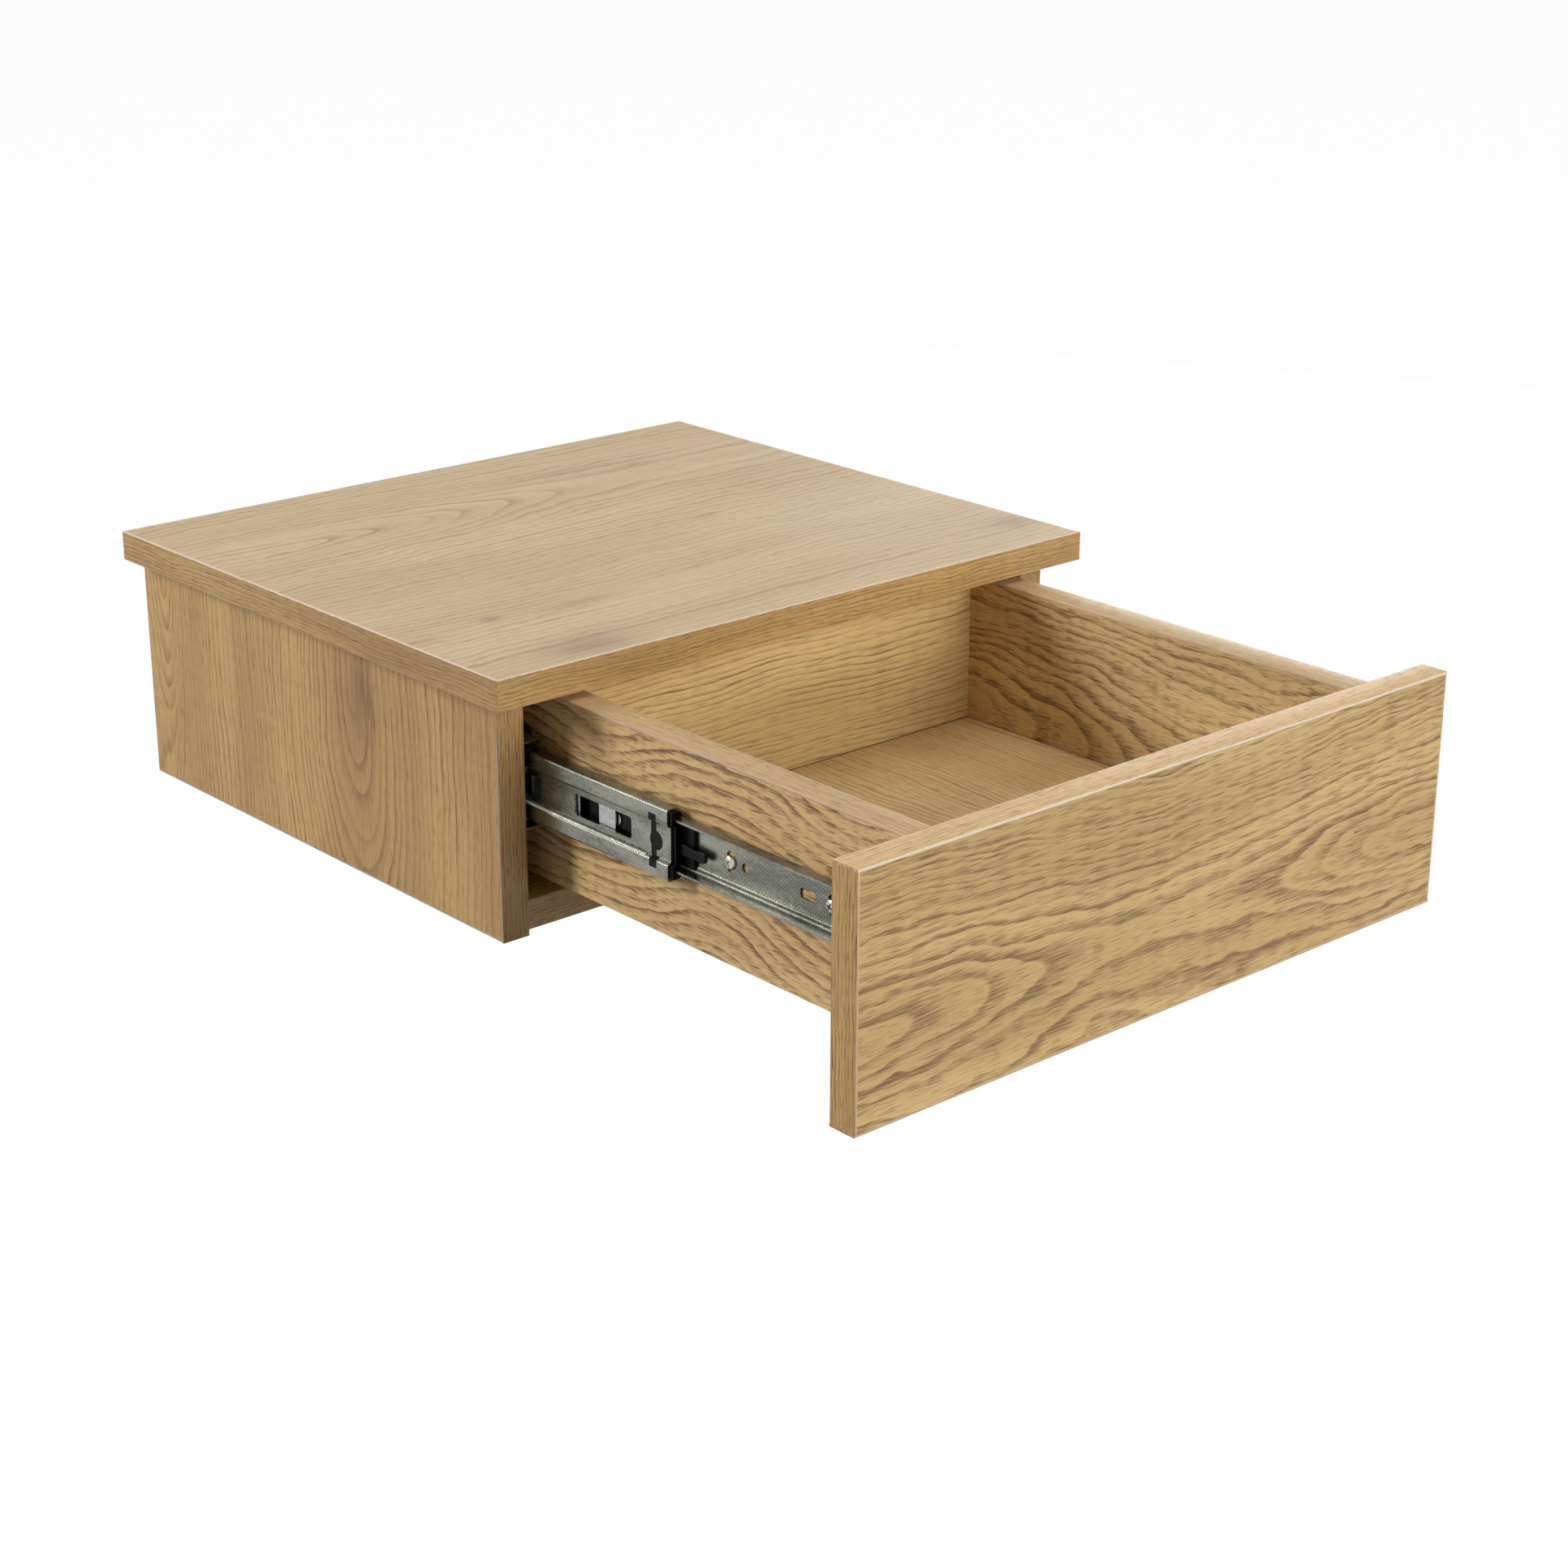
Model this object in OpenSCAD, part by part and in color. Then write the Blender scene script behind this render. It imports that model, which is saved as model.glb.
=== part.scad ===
// Wall-hung bedside cabinet with one full-width drawer on ball-bearing slides.
// Millimetres. X runs to the right, Y into the wall, Z up. The origin is the centre
// of the wall-screw pattern, on the wall plane. The drawer is drawn standing open.

/* [Case] */
// Overall width of the top panel
top_w = 370; // [340:1:460]
// Depth of the top panel, front to wall
top_d = 322; // [312:1:380]
// Thickness of the top panel
top_t = 15; // [15:0.5:22]
// Overall height, top face to the lower edge of the sides
case_h = 133; // [128:1:190]
// Thickness of each side panel
side_t = 15; // [14:0.5:19]
// How far each side panel stands in from the end of the top
side_inset = 11; // [4:0.5:20]
// Thickness of the bottom panel
bottom_t = 15; // [15:0.5:18]
// Height of the bottom panel's underside above the lower edge of the sides
bottom_lift = 2.4; // [1.4:0.1:5]
// How far the bottom panel's front stands behind the sides' front
bottom_setback = 0.7; // [0:0.1:4]
// Thickness of the back board
back_t = 15; // [15:0.5:19]
// Thickness of the glued edge bands
band_t = 1.3; // [0.8:0.1:2]
// Radius worn on the outer corners of an edge band
band_r = 0.6; // [0.2:0.1:0.7]

/* [Wall fixing] */
// Depth of the screw pattern's centre below the top face
hang_drop = 65; // [58:0.5:70]
// Distance between the screw columns
wall_hole_dx = 192; // [120:1:200]
// Distance between the screw rows
wall_hole_dz = 50; // [30:1:60]
// Radius of a wall-screw hole
wall_hole_r = 2.75; // [2:0.05:3.5]
// Radius of the countersink at the inside face
wall_sink_r = 5.5; // [4.5:0.1:7]

/* [Drawer] */
// Thickness of the drawer front
front_t = 15; // [15:0.5:20]
// Gap between the top panel's underside and the drawer front
front_top_gap = 3; // [2:0.1:5]
// Gap between the sides' front edges and the closed drawer front
front_gap = 1.5; // [1:0.1:4]
// How far the drawer stands open
drawer_open = 231.5; // [0:0.5:249]
// Gap between the drawer's side boards and the bottom panel
box_low_gap = 6.2; // [4:0.1:9]
// Thickness of the drawer's side boards
box_side_t = 15; // [15:0.5:16]
// Thickness of the drawer's back board
box_back_t = 15; // [12:0.5:18]
// How far the side boards reach behind the slides
box_tail = 6; // [2:1:20]
// Thickness of the drawer floor
floor_t = 3; // [2.5:0.1:5]
// Height of the floor's groove above the lower edge of the drawer sides
floor_lift = 12; // [8:0.5:16]
// Depth of the floor's grooves
groove_depth = 6; // [3:0.5:7]

/* [Slides] */
// Length of the cabinet member
slide_len = 250; // [246:1:256]
// How far the drawer can travel
travel = 250; // [249:1:252]
// Share of the drawer's travel that the middle member makes
mid_share = 0.43; // [0.42:0.01:0.45]
// Depth of the slide's centre line below the top face
slide_drop = 61; // [58:0.1:64]
// Room between a case side and the drawer side, filled by the slide
slide_gap = 13; // [13:0.1:14]
// How far the cabinet member stands behind the front edge of the side
slide_setback = 2; // [1:0.5:4]
// Distance from the drawer front's back to the drawer member
member_setback = 2; // [1:0.5:3]
// Half height of the drawer member
drawer_half = 12.3; // [12.3:0.1:13]
// Sheet thickness of the cabinet member
cab_metal = 1.2; // [1:0.1:1.3]
// Sheet thickness of the middle and drawer members
rail_metal = 1; // [0.8:0.1:1.1]
// Sheet thickness of the ball cages
cage_metal = 0.6; // [0.5:0.1:0.7]
// Ball diameter
ball_d = 3.3; // [3:0.1:3.6]
// Running clearance between a ball and each race
ball_play = 0.05; // [0.02:0.01:0.1]
// Clearance of a ball in its cage pocket
pocket_play = 0.15; // [0.1:0.01:0.25]
// Distance between balls in the outer cages
outer_pitch = 12; // [9:0.5:18]
// Distance between balls in the inner cages
inner_pitch = 11; // [9:0.5:18]
// Length of the outer cages
outer_cage_len = 125; // [110:1:128]
// Length of the inner cages
inner_cage_len = 81; // [76:1:83]
// Length of the rear stop
stop_len = 5; // [3:0.5:7]
// Length of the front guide inside the middle member
guide_len = 14; // [13.5:0.1:14.5]
// How far the front guide stands out of the middle member
guide_nose = 2; // [0.5:0.5:4]

/* [Release lever] */
// Distance from the lever's pivot forward to its tip
lever_reach = 60; // [55:0.5:62]
// Distance from the lever's pivot back to the end of the slide's length
lever_back = 75; // [72:0.5:78]
// Thickness of the lever
lever_t = 1.6; // [1.2:0.1:1.7]
// Radius of the lever's pivot rivet
rivet_r = 2; // [1.5:0.1:2.4]
// Running clearance of the lever on its rivet
rivet_play = 0.05; // [0.02:0.01:0.1]

/* [Fastenings] */
// Clearance round fixed pins, screws and plugs
fit = 0.1; // [0.02:0.01:0.2]
// Radius of a cam housing
cam_r = 7.4; // [6:0.1:8.4]
// Depth of a cam housing
cam_h = 12.4; // [11:0.1:12.6]
// Distance from a joint to the cam's centre
cam_reach = 24; // [20:0.5:30]
// Radius of a cam bolt's shank
cam_bolt_r = 3.2; // [2.5:0.1:3.6]
// Depth of a cam bolt's thread
cam_thread = 11; // [8:0.5:12]
// Radius of a wooden dowel
dowel_r = 4; // [3:0.1:4.5]
// Length of a wooden dowel
dowel_len = 30; // [24:1:36]
// How deep a dowel stands in the board that it meets
dowel_bite = 10; // [8:0.5:12]
// Radius of a slide screw's shank
screw_r = 1.8; // [1.4:0.1:2.1]
// Radius of a slide screw's head
screw_head_r = 3.4; // [3:0.1:3.8]
// Depth of a slide screw in the board
screw_bite = 12; // [9:0.5:13]

/* [Hidden] */

$fn = 48;
left = -1;
right = 1;

// Heights of the case
top_z = hang_drop;
under_z = top_z - top_t;
low_z = top_z - case_h;
bottom_z0 = low_z + bottom_lift;
bottom_z1 = bottom_z0 + bottom_t;

// Widths and depths of the case
side_out = top_w / 2 - side_inset;
side_in = side_out - side_t;
side_front = -top_d + front_t + front_gap;
bottom_front = side_front + bottom_setback;

// Drawer, with how far it stands forward of its closed place
box_out = side_in - slide_gap;
box_in = box_out - box_side_t;
front_y0 = -top_d - drawer_open;
front_y1 = front_y0 + front_t;
front_z1 = under_z - front_top_gap;
box_z1 = front_z1;
box_z0 = bottom_z1 + box_low_gap;
box_len = slide_len + box_tail;
box_y1 = front_y1 + box_len;
back_in = box_y1 - box_back_t;
floor_z0 = box_z0 + floor_lift;
floor_z1 = floor_z0 + floor_t;
floor_play = 0.2;

// Slide sections, measured from the case side towards the drawer
slide_z = top_z - slide_drop;
mid_half = drawer_half + ball_d + 2 * ball_play + rail_metal;
cab_half = mid_half + ball_d + 2 * ball_play + cab_metal;
rail_u = 3;
recess_u = 2;
web_u = slide_gap - rail_metal;
flange_u = 5.7;
band_z = 9.1;
step_z = 1.2;
cab_lip_u = 10;
lip_u = 8.8;
lip_reach = 2;
lip_fall = 1.4;
outer_ball_z = mid_half + ball_play + ball_d / 2;
inner_ball_z = drawer_half + ball_play + ball_d / 2;
outer_ball_u = 6.2;
inner_ball_u = 7.4;

// Slide lengths and places along the travel
spare = travel - drawer_open;
cab_front = side_front + slide_setback;
cab_rear = cab_front + slide_len;
mid_lag = 0.5;
mid_front = cab_front + mid_lag - mid_share * drawer_open;
mid_len = slide_len - stop_len - 4;
rail_front = front_y1 + member_setback;
rail_rear = cab_rear - drawer_open - stop_len - 0.5;
outer_cage_y = cab_front + 1.5 + mid_share * spare / 2;
inner_cage_y = mid_front - mid_share * spare + guide_len + 0.8 + (1 + mid_share) * spare / 2;

// Screws and openings in the slide members, from each member's front
cab_screw_ends = [35, 23];
cab_slot_steps = [32, 64];
cab_screw_y0 = cab_screw_ends[0];
cab_screw_y1 = slide_len - cab_screw_ends[1];
cab_screw_y = [cab_screw_y0, (cab_screw_y0 + cab_screw_y1) / 2, cab_screw_y1];
cab_slot_y = [for (s = cab_slot_steps) each [cab_screw_y0 + s, cab_screw_y1 - s]];
lever_pivot_y = slide_len - lever_back;
lever_tip_y = lever_pivot_y - lever_reach;
base_front = 50.5;
base_rear = 25;
base_y = [lever_pivot_y - base_front, lever_pivot_y + base_rear];
rail_screw_front = 38.5;
screw_to_lever = 12.5;
screw_to_base = 20;
rail_screw_y = [rail_screw_front, lever_tip_y - screw_to_lever, base_y[1] + screw_to_base];
rail_hole_step = 9.5;
rail_slot_step = 15;
rail_hole_y = rail_screw_y[1] - rail_hole_step;
rail_slot_y = rail_screw_front + rail_slot_step;
rail_slot_half = 4.75;
rail_hole_r = 2.2;
slot_r = 2.5;
slot_half = 2.5;
window_y = [27, 92, 150];
window_len = 40.5;
nick_y = 85;
nick_size = 2.4;
window_half = 5.1;
window_r = 1.6;
cage_window = 13.8;
cage_bar = 11.5;
cage_margin = 6.3;
cage_window_half = 5.6;
cage_end = 3;
outer_web_u = 1.8;
outer_step_u = 3.9;
outer_step_z = 7;
outer_end_u = 9;
inner_web_u = 4.5;
inner_step_u = 6.5;
inner_step_z = 8.9;
inner_end_u = 9.4;
cage_slope_z = 1.25;
head_h = 2;
stop_u = 9;
stop_wall = 2.5;
stop_rim = 4;
head_dome = 0.8;

// Clip of the front guide: pads in the bands, a bar and a half-round in the recess
pad_y = [7.7, 12.6];
pad_z = [7.6, 12.4];
bar_y = [9.8, 13.2];
hump_r = 4.3;
hump_z = -0.5;

// Body of the front guide, inside the middle member
guide_u = 6.2;
guide_band_u = 4.2;
guide_step_z = 8.5;
guide_t = 1.2;
guide_end_u = 9.9;
guide_play = 0.2;
guide_gap = 0.4;

// Release lever
base_half = 10.4;
base_t = 1.8;
lever_tip_z = -2.3;
lever_half = 2.1;
boss_r = 5.5;
lever_gap = 0.2;
lever_u1 = web_u - base_t - lever_gap;
lever_u0 = lever_u1 - lever_t;
rivet_head_t = 0.6;
rivet_head_r = 3.1;

// Places of the fastenings
case_cam_y = [-60, -250];
top_cam_y = -32;
top_dowel_y = [-110, -230];
bottom_dowel_y = -150;
back_cam_z = [28, -28];
box_cam_drop = 22;
box_cam_rise = 31.4;
box_cam_z = [box_z1 - box_cam_drop, box_z0 + box_cam_rise];
box_dowel_z = (box_cam_z[0] + box_cam_z[1]) / 2;
back_screw_z = box_cam_z;
back_screw_len = 50;
back_screw_r = 2.5;
back_head_r = 3.5;
back_head_h = 4;
floor_screw_edge = 41;
floor_screw_x = [floor_screw_edge - box_in, 0, box_in - floor_screw_edge];
floor_screw_r = 1.5;
floor_head_r = 3;
floor_head_h = 1.4;
floor_screw_bite = 12;
block_back = 25;
block_y = side_front + block_back;
block_size = [10, 22, 18];
block_hole_y = [6, 16];
block_screw_r = 1.6;
block_head_r = 3;
block_bite = 9;
cap_r = 8.6;
cap_h = 1;

module bar_box(lo, hi) {
  translate(lo)
    cube([hi[0] - lo[0], hi[1] - lo[1], hi[2] - lo[2]]);
}

// A cylinder along X from x0 to x1
module rod_x(x0, x1, y, z, r) {
  translate([x0, y, z])
    rotate([0, 90, 0])
      cylinder(h = x1 - x0, r = r);
}

// A cylinder along Y from y0 to y1
module rod_y(x, y0, y1, z, r) {
  translate([x, y1, z])
    rotate([90, 0, 0])
      cylinder(h = y1 - y0, r = r);
}

// A cylinder along Z from z0 to z1
module rod_z(x, y, z0, z1, r) {
  translate([x, y, z0])
    cylinder(h = z1 - z0, r = r);
}

// The children on the left, and mirrored on the right
module both_sides() {
  children();
  mirror([1, 0, 0])
    children();
}

module on_side(side) {
  if (side == left)
    children();
  else
    mirror([1, 0, 0])
      children();
}

// Section of an edge band: X is outwards from the board, Y across it
module band_section(h) {
  square([band_t - band_r, h]);
  translate([0, band_r])
    square([band_t, h - 2 * band_r]);
  for (y = [band_r, h - band_r])
    translate([band_t - band_r, y])
      circle(r = band_r);
}

// An edge band along Y, outwards to +X, across Z
module band(len, h) {
  translate([0, len, 0])
    rotate([90, 0, 0])
      linear_extrude(len)
        band_section(h);
}

// Cam joint: the bolt runs along +X into the cam's board, whose face is up at board_t / 2
module cam_housing(board_t) {
  difference() {
    translate([cam_reach, 0, board_t / 2 - cam_h])
      cylinder(h = cam_h, r = cam_r);
    rod_x(cam_reach - cam_r - 1, cam_reach + 4, 0, 0, cam_bolt_r + 4 * fit);
    for (a = [45, 135])
      translate([cam_reach, 0, board_t / 2])
        rotate([0, 0, a])
          cube([7, 1.3, 3], center = true);
  }
}

module cam_bolt() {
  rod_x(-cam_thread, 0, 0, 0, cam_bolt_r - 0.6);
  rod_x(0, cam_reach - cam_r + 2, 0, 0, cam_bolt_r);
  rod_x(cam_reach - cam_r + 2, cam_reach - 1, 0, 0, cam_bolt_r - 1.2);
  rod_x(cam_reach - 1, cam_reach + 2, 0, 0, cam_bolt_r);
}

module cam_cut(board_t) {
  rod_x(-cam_thread - 1, 0, 0, 0, cam_bolt_r - 0.6 + fit);
  rod_x(0, cam_reach, 0, 0, cam_bolt_r + fit);
  translate([cam_reach, 0, board_t / 2 - cam_h - fit])
    cylinder(h = cam_h + 1, r = cam_r + fit);
}

module cam_cap(board_t) {
  translate([cam_reach, 0, board_t / 2]) {
    cylinder(h = cap_h / 2, r = cap_r);
    cylinder(h = cap_h, r = cap_r - 0.6);
  }
}

// Dowel joint: the dowel runs along +X into the board that is joined end on
module dowel() {
  rod_x(-dowel_bite, dowel_len - dowel_bite, 0, 0, dowel_r);
}

module dowel_cut() {
  rod_x(-dowel_bite - 1, dowel_len - dowel_bite + 1, 0, 0, dowel_r + fit);
}

// Places of the joints on the left half of the case
module top_cam_place() {
  translate([-(side_in + side_out) / 2, top_cam_y, under_z])
    rotate([0, 90, 0])
      children();
}

module top_dowel_places() {
  for (y = top_dowel_y)
    translate([-(side_in + side_out) / 2, y, under_z])
      rotate([0, 90, 0])
        children();
}

module bottom_cam_places() {
  for (y = case_cam_y)
    translate([-side_in, y, (bottom_z0 + bottom_z1) / 2])
      rotate([180, 0, 0])
        children();
}

module bottom_dowel_place() {
  translate([-side_in, bottom_dowel_y, (bottom_z0 + bottom_z1) / 2])
    children();
}

module back_cam_places() {
  for (z = back_cam_z)
    translate([-side_in, -back_t / 2, z])
      rotate([90, 0, 0])
        children();
}

module back_dowel_place() {
  translate([-side_in, -back_t / 2, 0])
    children();
}

// Everything that is bored into the left half of the case
module case_cuts() {
  top_cam_place()
    cam_cut(side_t);
  bottom_cam_places()
    cam_cut(bottom_t);
  back_cam_places()
    cam_cut(back_t);
  top_dowel_places()
    dowel_cut();
  bottom_dowel_place()
    dowel_cut();
  back_dowel_place()
    dowel_cut();
  block_screw_places()
    block_screw_cut();
}

// Corner block under the top, at the front of each side
module block_screw_places() {
  translate([-side_in, block_y + block_hole_y[0], under_z - block_size[2] / 2])
    rotate([0, 90, 0])
      children();
  translate([-side_in + block_size[0] / 2, block_y + block_hole_y[1], under_z])
    rotate([180, 0, 0])
      children();
}

module block_screw(reach) {
  translate([0, 0, -block_bite])
    cylinder(h = block_bite + reach, r = block_screw_r);
  translate([0, 0, reach - block_head_r + block_screw_r])
    cylinder(h = block_head_r - block_screw_r, r1 = block_screw_r, r2 = block_head_r);
}

module block_screw_cut() {
  translate([0, 0, -block_bite - 1])
    cylinder(h = block_bite + 1, r = block_screw_r + fit);
}

module top_panel() {
  color([0.76, 0.61, 0.42])
    difference() {
      bar_box([-top_w / 2 + band_t, -top_d + band_t, under_z], [top_w / 2 - band_t, 0, top_z]);
      both_sides()
        case_cuts();
    }
}

module side_panel(side) {
  color([0.72, 0.56, 0.36])
    on_side(side)
      difference() {
        bar_box([-side_out, side_front + band_t, low_z + band_t], [-side_in, 0, under_z]);
        case_cuts();
        at_slide(left)
          cabinet_screw_places()
            rod_x(-screw_bite - 1, 1, 0, 0, screw_r + fit);
      }
}

module left_side_panel() {
  side_panel(left);
}

// The right slide is the left one turned over, so its screws lie at the same heights
module right_side_panel() {
  side_panel(right);
}

module bottom_panel() {
  color([0.7, 0.54, 0.34])
    difference() {
      bar_box([-side_in, bottom_front + band_t, bottom_z0], [side_in, 0, bottom_z1]);
      both_sides()
        case_cuts();
    }
}

module back_board() {
  color([0.68, 0.52, 0.33])
    difference() {
      bar_box([-side_in, -back_t, bottom_z1], [side_in, 0, under_z]);
      both_sides()
        case_cuts();
      for (x = [-wall_hole_dx / 2, wall_hole_dx / 2], z = [-wall_hole_dz / 2, wall_hole_dz / 2]) {
        rod_y(x, -back_t - 1, 1, z, wall_hole_r);
        translate([x, -back_t + wall_sink_r - wall_hole_r, z])
          rotate([90, 0, 0])
            cylinder(h = wall_sink_r - wall_hole_r, r1 = wall_hole_r, r2 = wall_sink_r);
      }
    }
}

module top_edge_bands() {
  color([0.78, 0.62, 0.4]) {
    translate([-top_w / 2, -top_d + band_t, under_z])
      rotate([0, 0, -90])
        band(top_w, top_t);
    both_sides()
      translate([-top_w / 2 + band_t, 0, under_z])
        rotate([0, 0, 180])
          band(top_d - band_t, top_t);
  }
}

module side_edge_bands() {
  color([0.74, 0.58, 0.38])
    both_sides() {
      translate([-side_in, side_front + band_t, low_z])
        rotate([90, 0, -90])
          band(under_z - low_z, side_t);
      translate([-side_out, side_front + band_t, low_z + band_t])
        rotate([0, 90, 0])
          band(-side_front - band_t, side_t);
    }
}

module bottom_edge_band() {
  color([0.74, 0.58, 0.38])
    translate([-side_in, bottom_front + band_t, bottom_z0])
      rotate([0, 0, -90])
        band(2 * side_in, bottom_t);
}

module case_cams() {
  color([0.68, 0.68, 0.7])
    both_sides() {
      top_cam_place()
        cam_housing(side_t);
      bottom_cam_places()
        cam_housing(bottom_t);
      back_cam_places()
        cam_housing(back_t);
    }
}

module case_cam_bolts() {
  color([0.72, 0.7, 0.62])
    both_sides() {
      top_cam_place()
        cam_bolt();
      bottom_cam_places()
        cam_bolt();
      back_cam_places()
        cam_bolt();
    }
}

module case_dowels() {
  color([0.85, 0.74, 0.55])
    both_sides() {
      top_dowel_places()
        dowel();
      bottom_dowel_place()
        dowel();
      back_dowel_place()
        dowel();
    }
}

module case_cam_caps() {
  color([0.72, 0.55, 0.35])
    both_sides() {
      bottom_cam_places()
        cam_cap(bottom_t);
      back_cam_places()
        cam_cap(back_t);
    }
}

module corner_blocks() {
  color([0.85, 0.8, 0.7])
    both_sides()
      difference() {
        bar_box([-side_in, block_y, under_z - block_size[2]],
                [-side_in + block_size[0], block_y + block_size[1], under_z]);
        rod_x(-side_in - 1, -side_in + block_size[0] + 1, block_y + block_hole_y[0],
              under_z - block_size[2] / 2, block_head_r + fit);
        rod_z(-side_in + block_size[0] / 2, block_y + block_hole_y[1],
              under_z - block_size[2] - 1, under_z + 1, block_head_r + fit);
      }
}

module corner_block_screws() {
  color([0.75, 0.75, 0.76])
    both_sides() {
      translate([-side_in, block_y + block_hole_y[0], under_z - block_size[2] / 2])
        rotate([0, 90, 0])
          block_screw(block_size[0]);
      translate([-side_in + block_size[0] / 2, block_y + block_hole_y[1], under_z])
        rotate([180, 0, 0])
          block_screw(block_size[2]);
    }
}

// The left slide's own frame: X from the case side to the drawer, Z from the centre line.
// The right slide is the same part turned half round about Y.
module at_slide(side) {
  if (side == left)
    translate([-side_in, 0, slide_z])
      children();
  else
    translate([side_in, 0, slide_z])
      rotate([0, 180, 0])
        children();
}

// Extrudes a section drawn in X and Z along Y
module along(y0, y1) {
  translate([0, y1, 0])
    rotate([90, 0, 0])
      linear_extrude(y1 - y0)
        children();
}

// Extrudes an outline drawn in Y and Z along X
module across(x0, x1) {
  translate([x0, 0, 0])
    rotate([90, 0, 90])
      linear_extrude(x1 - x0)
        children();
}

// A section's upper half, given from the middle outwards and back, with its mirror image
module twin_section(outside, inside) {
  low = [for (i = [len(outside) - 1:-1:0]) [outside[i][0], -outside[i][1]]];
  back = [for (i = [len(inside) - 1:-1:0]) inside[i]];
  under = [for (p = inside) [p[0], -p[1]]];
  polygon(concat(low, outside, back, under));
}

// Rounded window in Y and Z
module window(y0, y1, half, r) {
  translate([y0 + r, -half])
    square([y1 - y0 - 2 * r, 2 * half]);
  translate([y0, -half + r])
    square([y1 - y0, 2 * (half - r)]);
  for (y = [y0 + r, y1 - r], z = [-half + r, half - r])
    translate([y, z])
      circle(r = r);
}

module cabinet_section() {
  inner = cab_half - cab_metal;
  lip_z = cab_half - 2.8;
  twin_section(
    [[0, cab_half - 1], [1, cab_half], [cab_lip_u, cab_half], [cab_lip_u + cab_metal, lip_z + cab_metal],
     [cab_lip_u + cab_metal, lip_z]],
    [[cab_metal, inner], [cab_lip_u - cab_metal / 2, inner], [cab_lip_u, inner - cab_metal / 2],
     [cab_lip_u, lip_z]]);
}

module cabinet_screw_places() {
  for (y = cab_screw_y)
    translate([0, cab_front + y, 0])
      children();
}

module cabinet_member(side) {
  color([0.6, 0.61, 0.6])
    at_slide(side)
      difference() {
        along(cab_front, cab_rear)
          cabinet_section();
        cabinet_screw_places()
          rod_x(-1, 2, 0, 0, screw_r + fit);
        for (y = cab_slot_y)
          translate([0, cab_front + y, 0])
            across(-1, 2)
              window(-2 * slot_r, 2 * slot_r, slot_r, slot_r - 0.1);
      }
}

module cabinet_member_left() {
  cabinet_member(left);
}

module cabinet_member_right() {
  cabinet_member(right);
}

// Pan-head screw along -X, its head on the plane X = 0
module pan_screw(bite, sink) {
  rod_x(-bite - sink, 0, 0, 0, screw_r);
  difference() {
    union() {
      rod_x(0, head_h - head_dome, 0, 0, screw_head_r);
      translate([head_h - head_dome, 0, 0])
        rotate([0, 90, 0])
          cylinder(h = head_dome, r1 = screw_head_r, r2 = screw_head_r - 1.1);
    }
    translate([head_h, 0, 0]) {
      cube([1.6, 3.6, 0.9], center = true);
      cube([1.6, 0.9, 3.6], center = true);
    }
  }
}

module cabinet_member_screws() {
  color([0.78, 0.78, 0.78])
    for (side = [left, right])
      at_slide(side)
        cabinet_screw_places()
          translate([cab_metal, 0, 0])
            pan_screw(screw_bite, cab_metal);
}

module rear_stops() {
  half = cab_half - cab_metal;
  color([0.12, 0.12, 0.13])
    for (side = [left, right])
      at_slide(side)
        difference() {
          bar_box([cab_metal, cab_rear - stop_len, -half], [stop_u, cab_rear, half]);
          bar_box([cab_metal + stop_wall, cab_rear - stop_len + stop_wall, stop_rim - half],
                  [stop_u + 1, cab_rear + 1, half - stop_rim]);
        }
}

// Ball cage: a stepped strip with a row of ball pockets above and below
module cage_section(web_u, step_u, step_z, ball_z, end_u) {
  twin_section(
    [[step_u, step_z], [web_u, step_z + cage_slope_z], [web_u, ball_z + cage_metal / 2],
     [end_u, ball_z + cage_metal / 2]],
    [[step_u + cage_metal, step_z + cage_metal / 2],
     [web_u + cage_metal, step_z + cage_slope_z + cage_metal / 2],
     [web_u + cage_metal, ball_z - cage_metal / 2], [end_u, ball_z - cage_metal / 2]]);
}

function ball_rows(len, pitch) =
  let (count = floor((len - 2 * cage_end) / pitch))
  [for (i = [0:count]) (len - count * pitch) / 2 + i * pitch];

module cage(y0, len, pitch, u, z) {
  difference() {
    along(y0, y0 + len)
      children();
    for (y = ball_rows(len, pitch), s = [-1, 1])
      rod_z(u, y0 + y, s * z - 1, s * z + 1, ball_d / 2 + pocket_play);
    for (y = [cage_margin:cage_window + cage_bar:len - cage_window])
      translate([0, y0 + y, 0])
        across(outer_step_u - 0.4, inner_step_u + 1.5)
          window(0, cage_window, cage_window_half, 1);
  }
}

module balls(y0, len, pitch, u, z) {
  for (y = ball_rows(len, pitch), s = [-1, 1])
    translate([u, y0 + y, s * z])
      sphere(r = ball_d / 2);
}

module outer_cage(side) {
  color([0.55, 0.56, 0.56])
    at_slide(side)
      cage(outer_cage_y, outer_cage_len, outer_pitch, outer_ball_u, outer_ball_z)
        cage_section(outer_web_u, outer_step_u, outer_step_z, outer_ball_z, outer_end_u);
}

module outer_cage_left() {
  outer_cage(left);
}

module outer_cage_right() {
  outer_cage(right);
}

module outer_balls(side) {
  color([0.8, 0.8, 0.82])
    at_slide(side)
      balls(outer_cage_y, outer_cage_len, outer_pitch, outer_ball_u, outer_ball_z);
}

module outer_balls_left() {
  outer_balls(left);
}

module outer_balls_right() {
  outer_balls(right);
}

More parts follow.
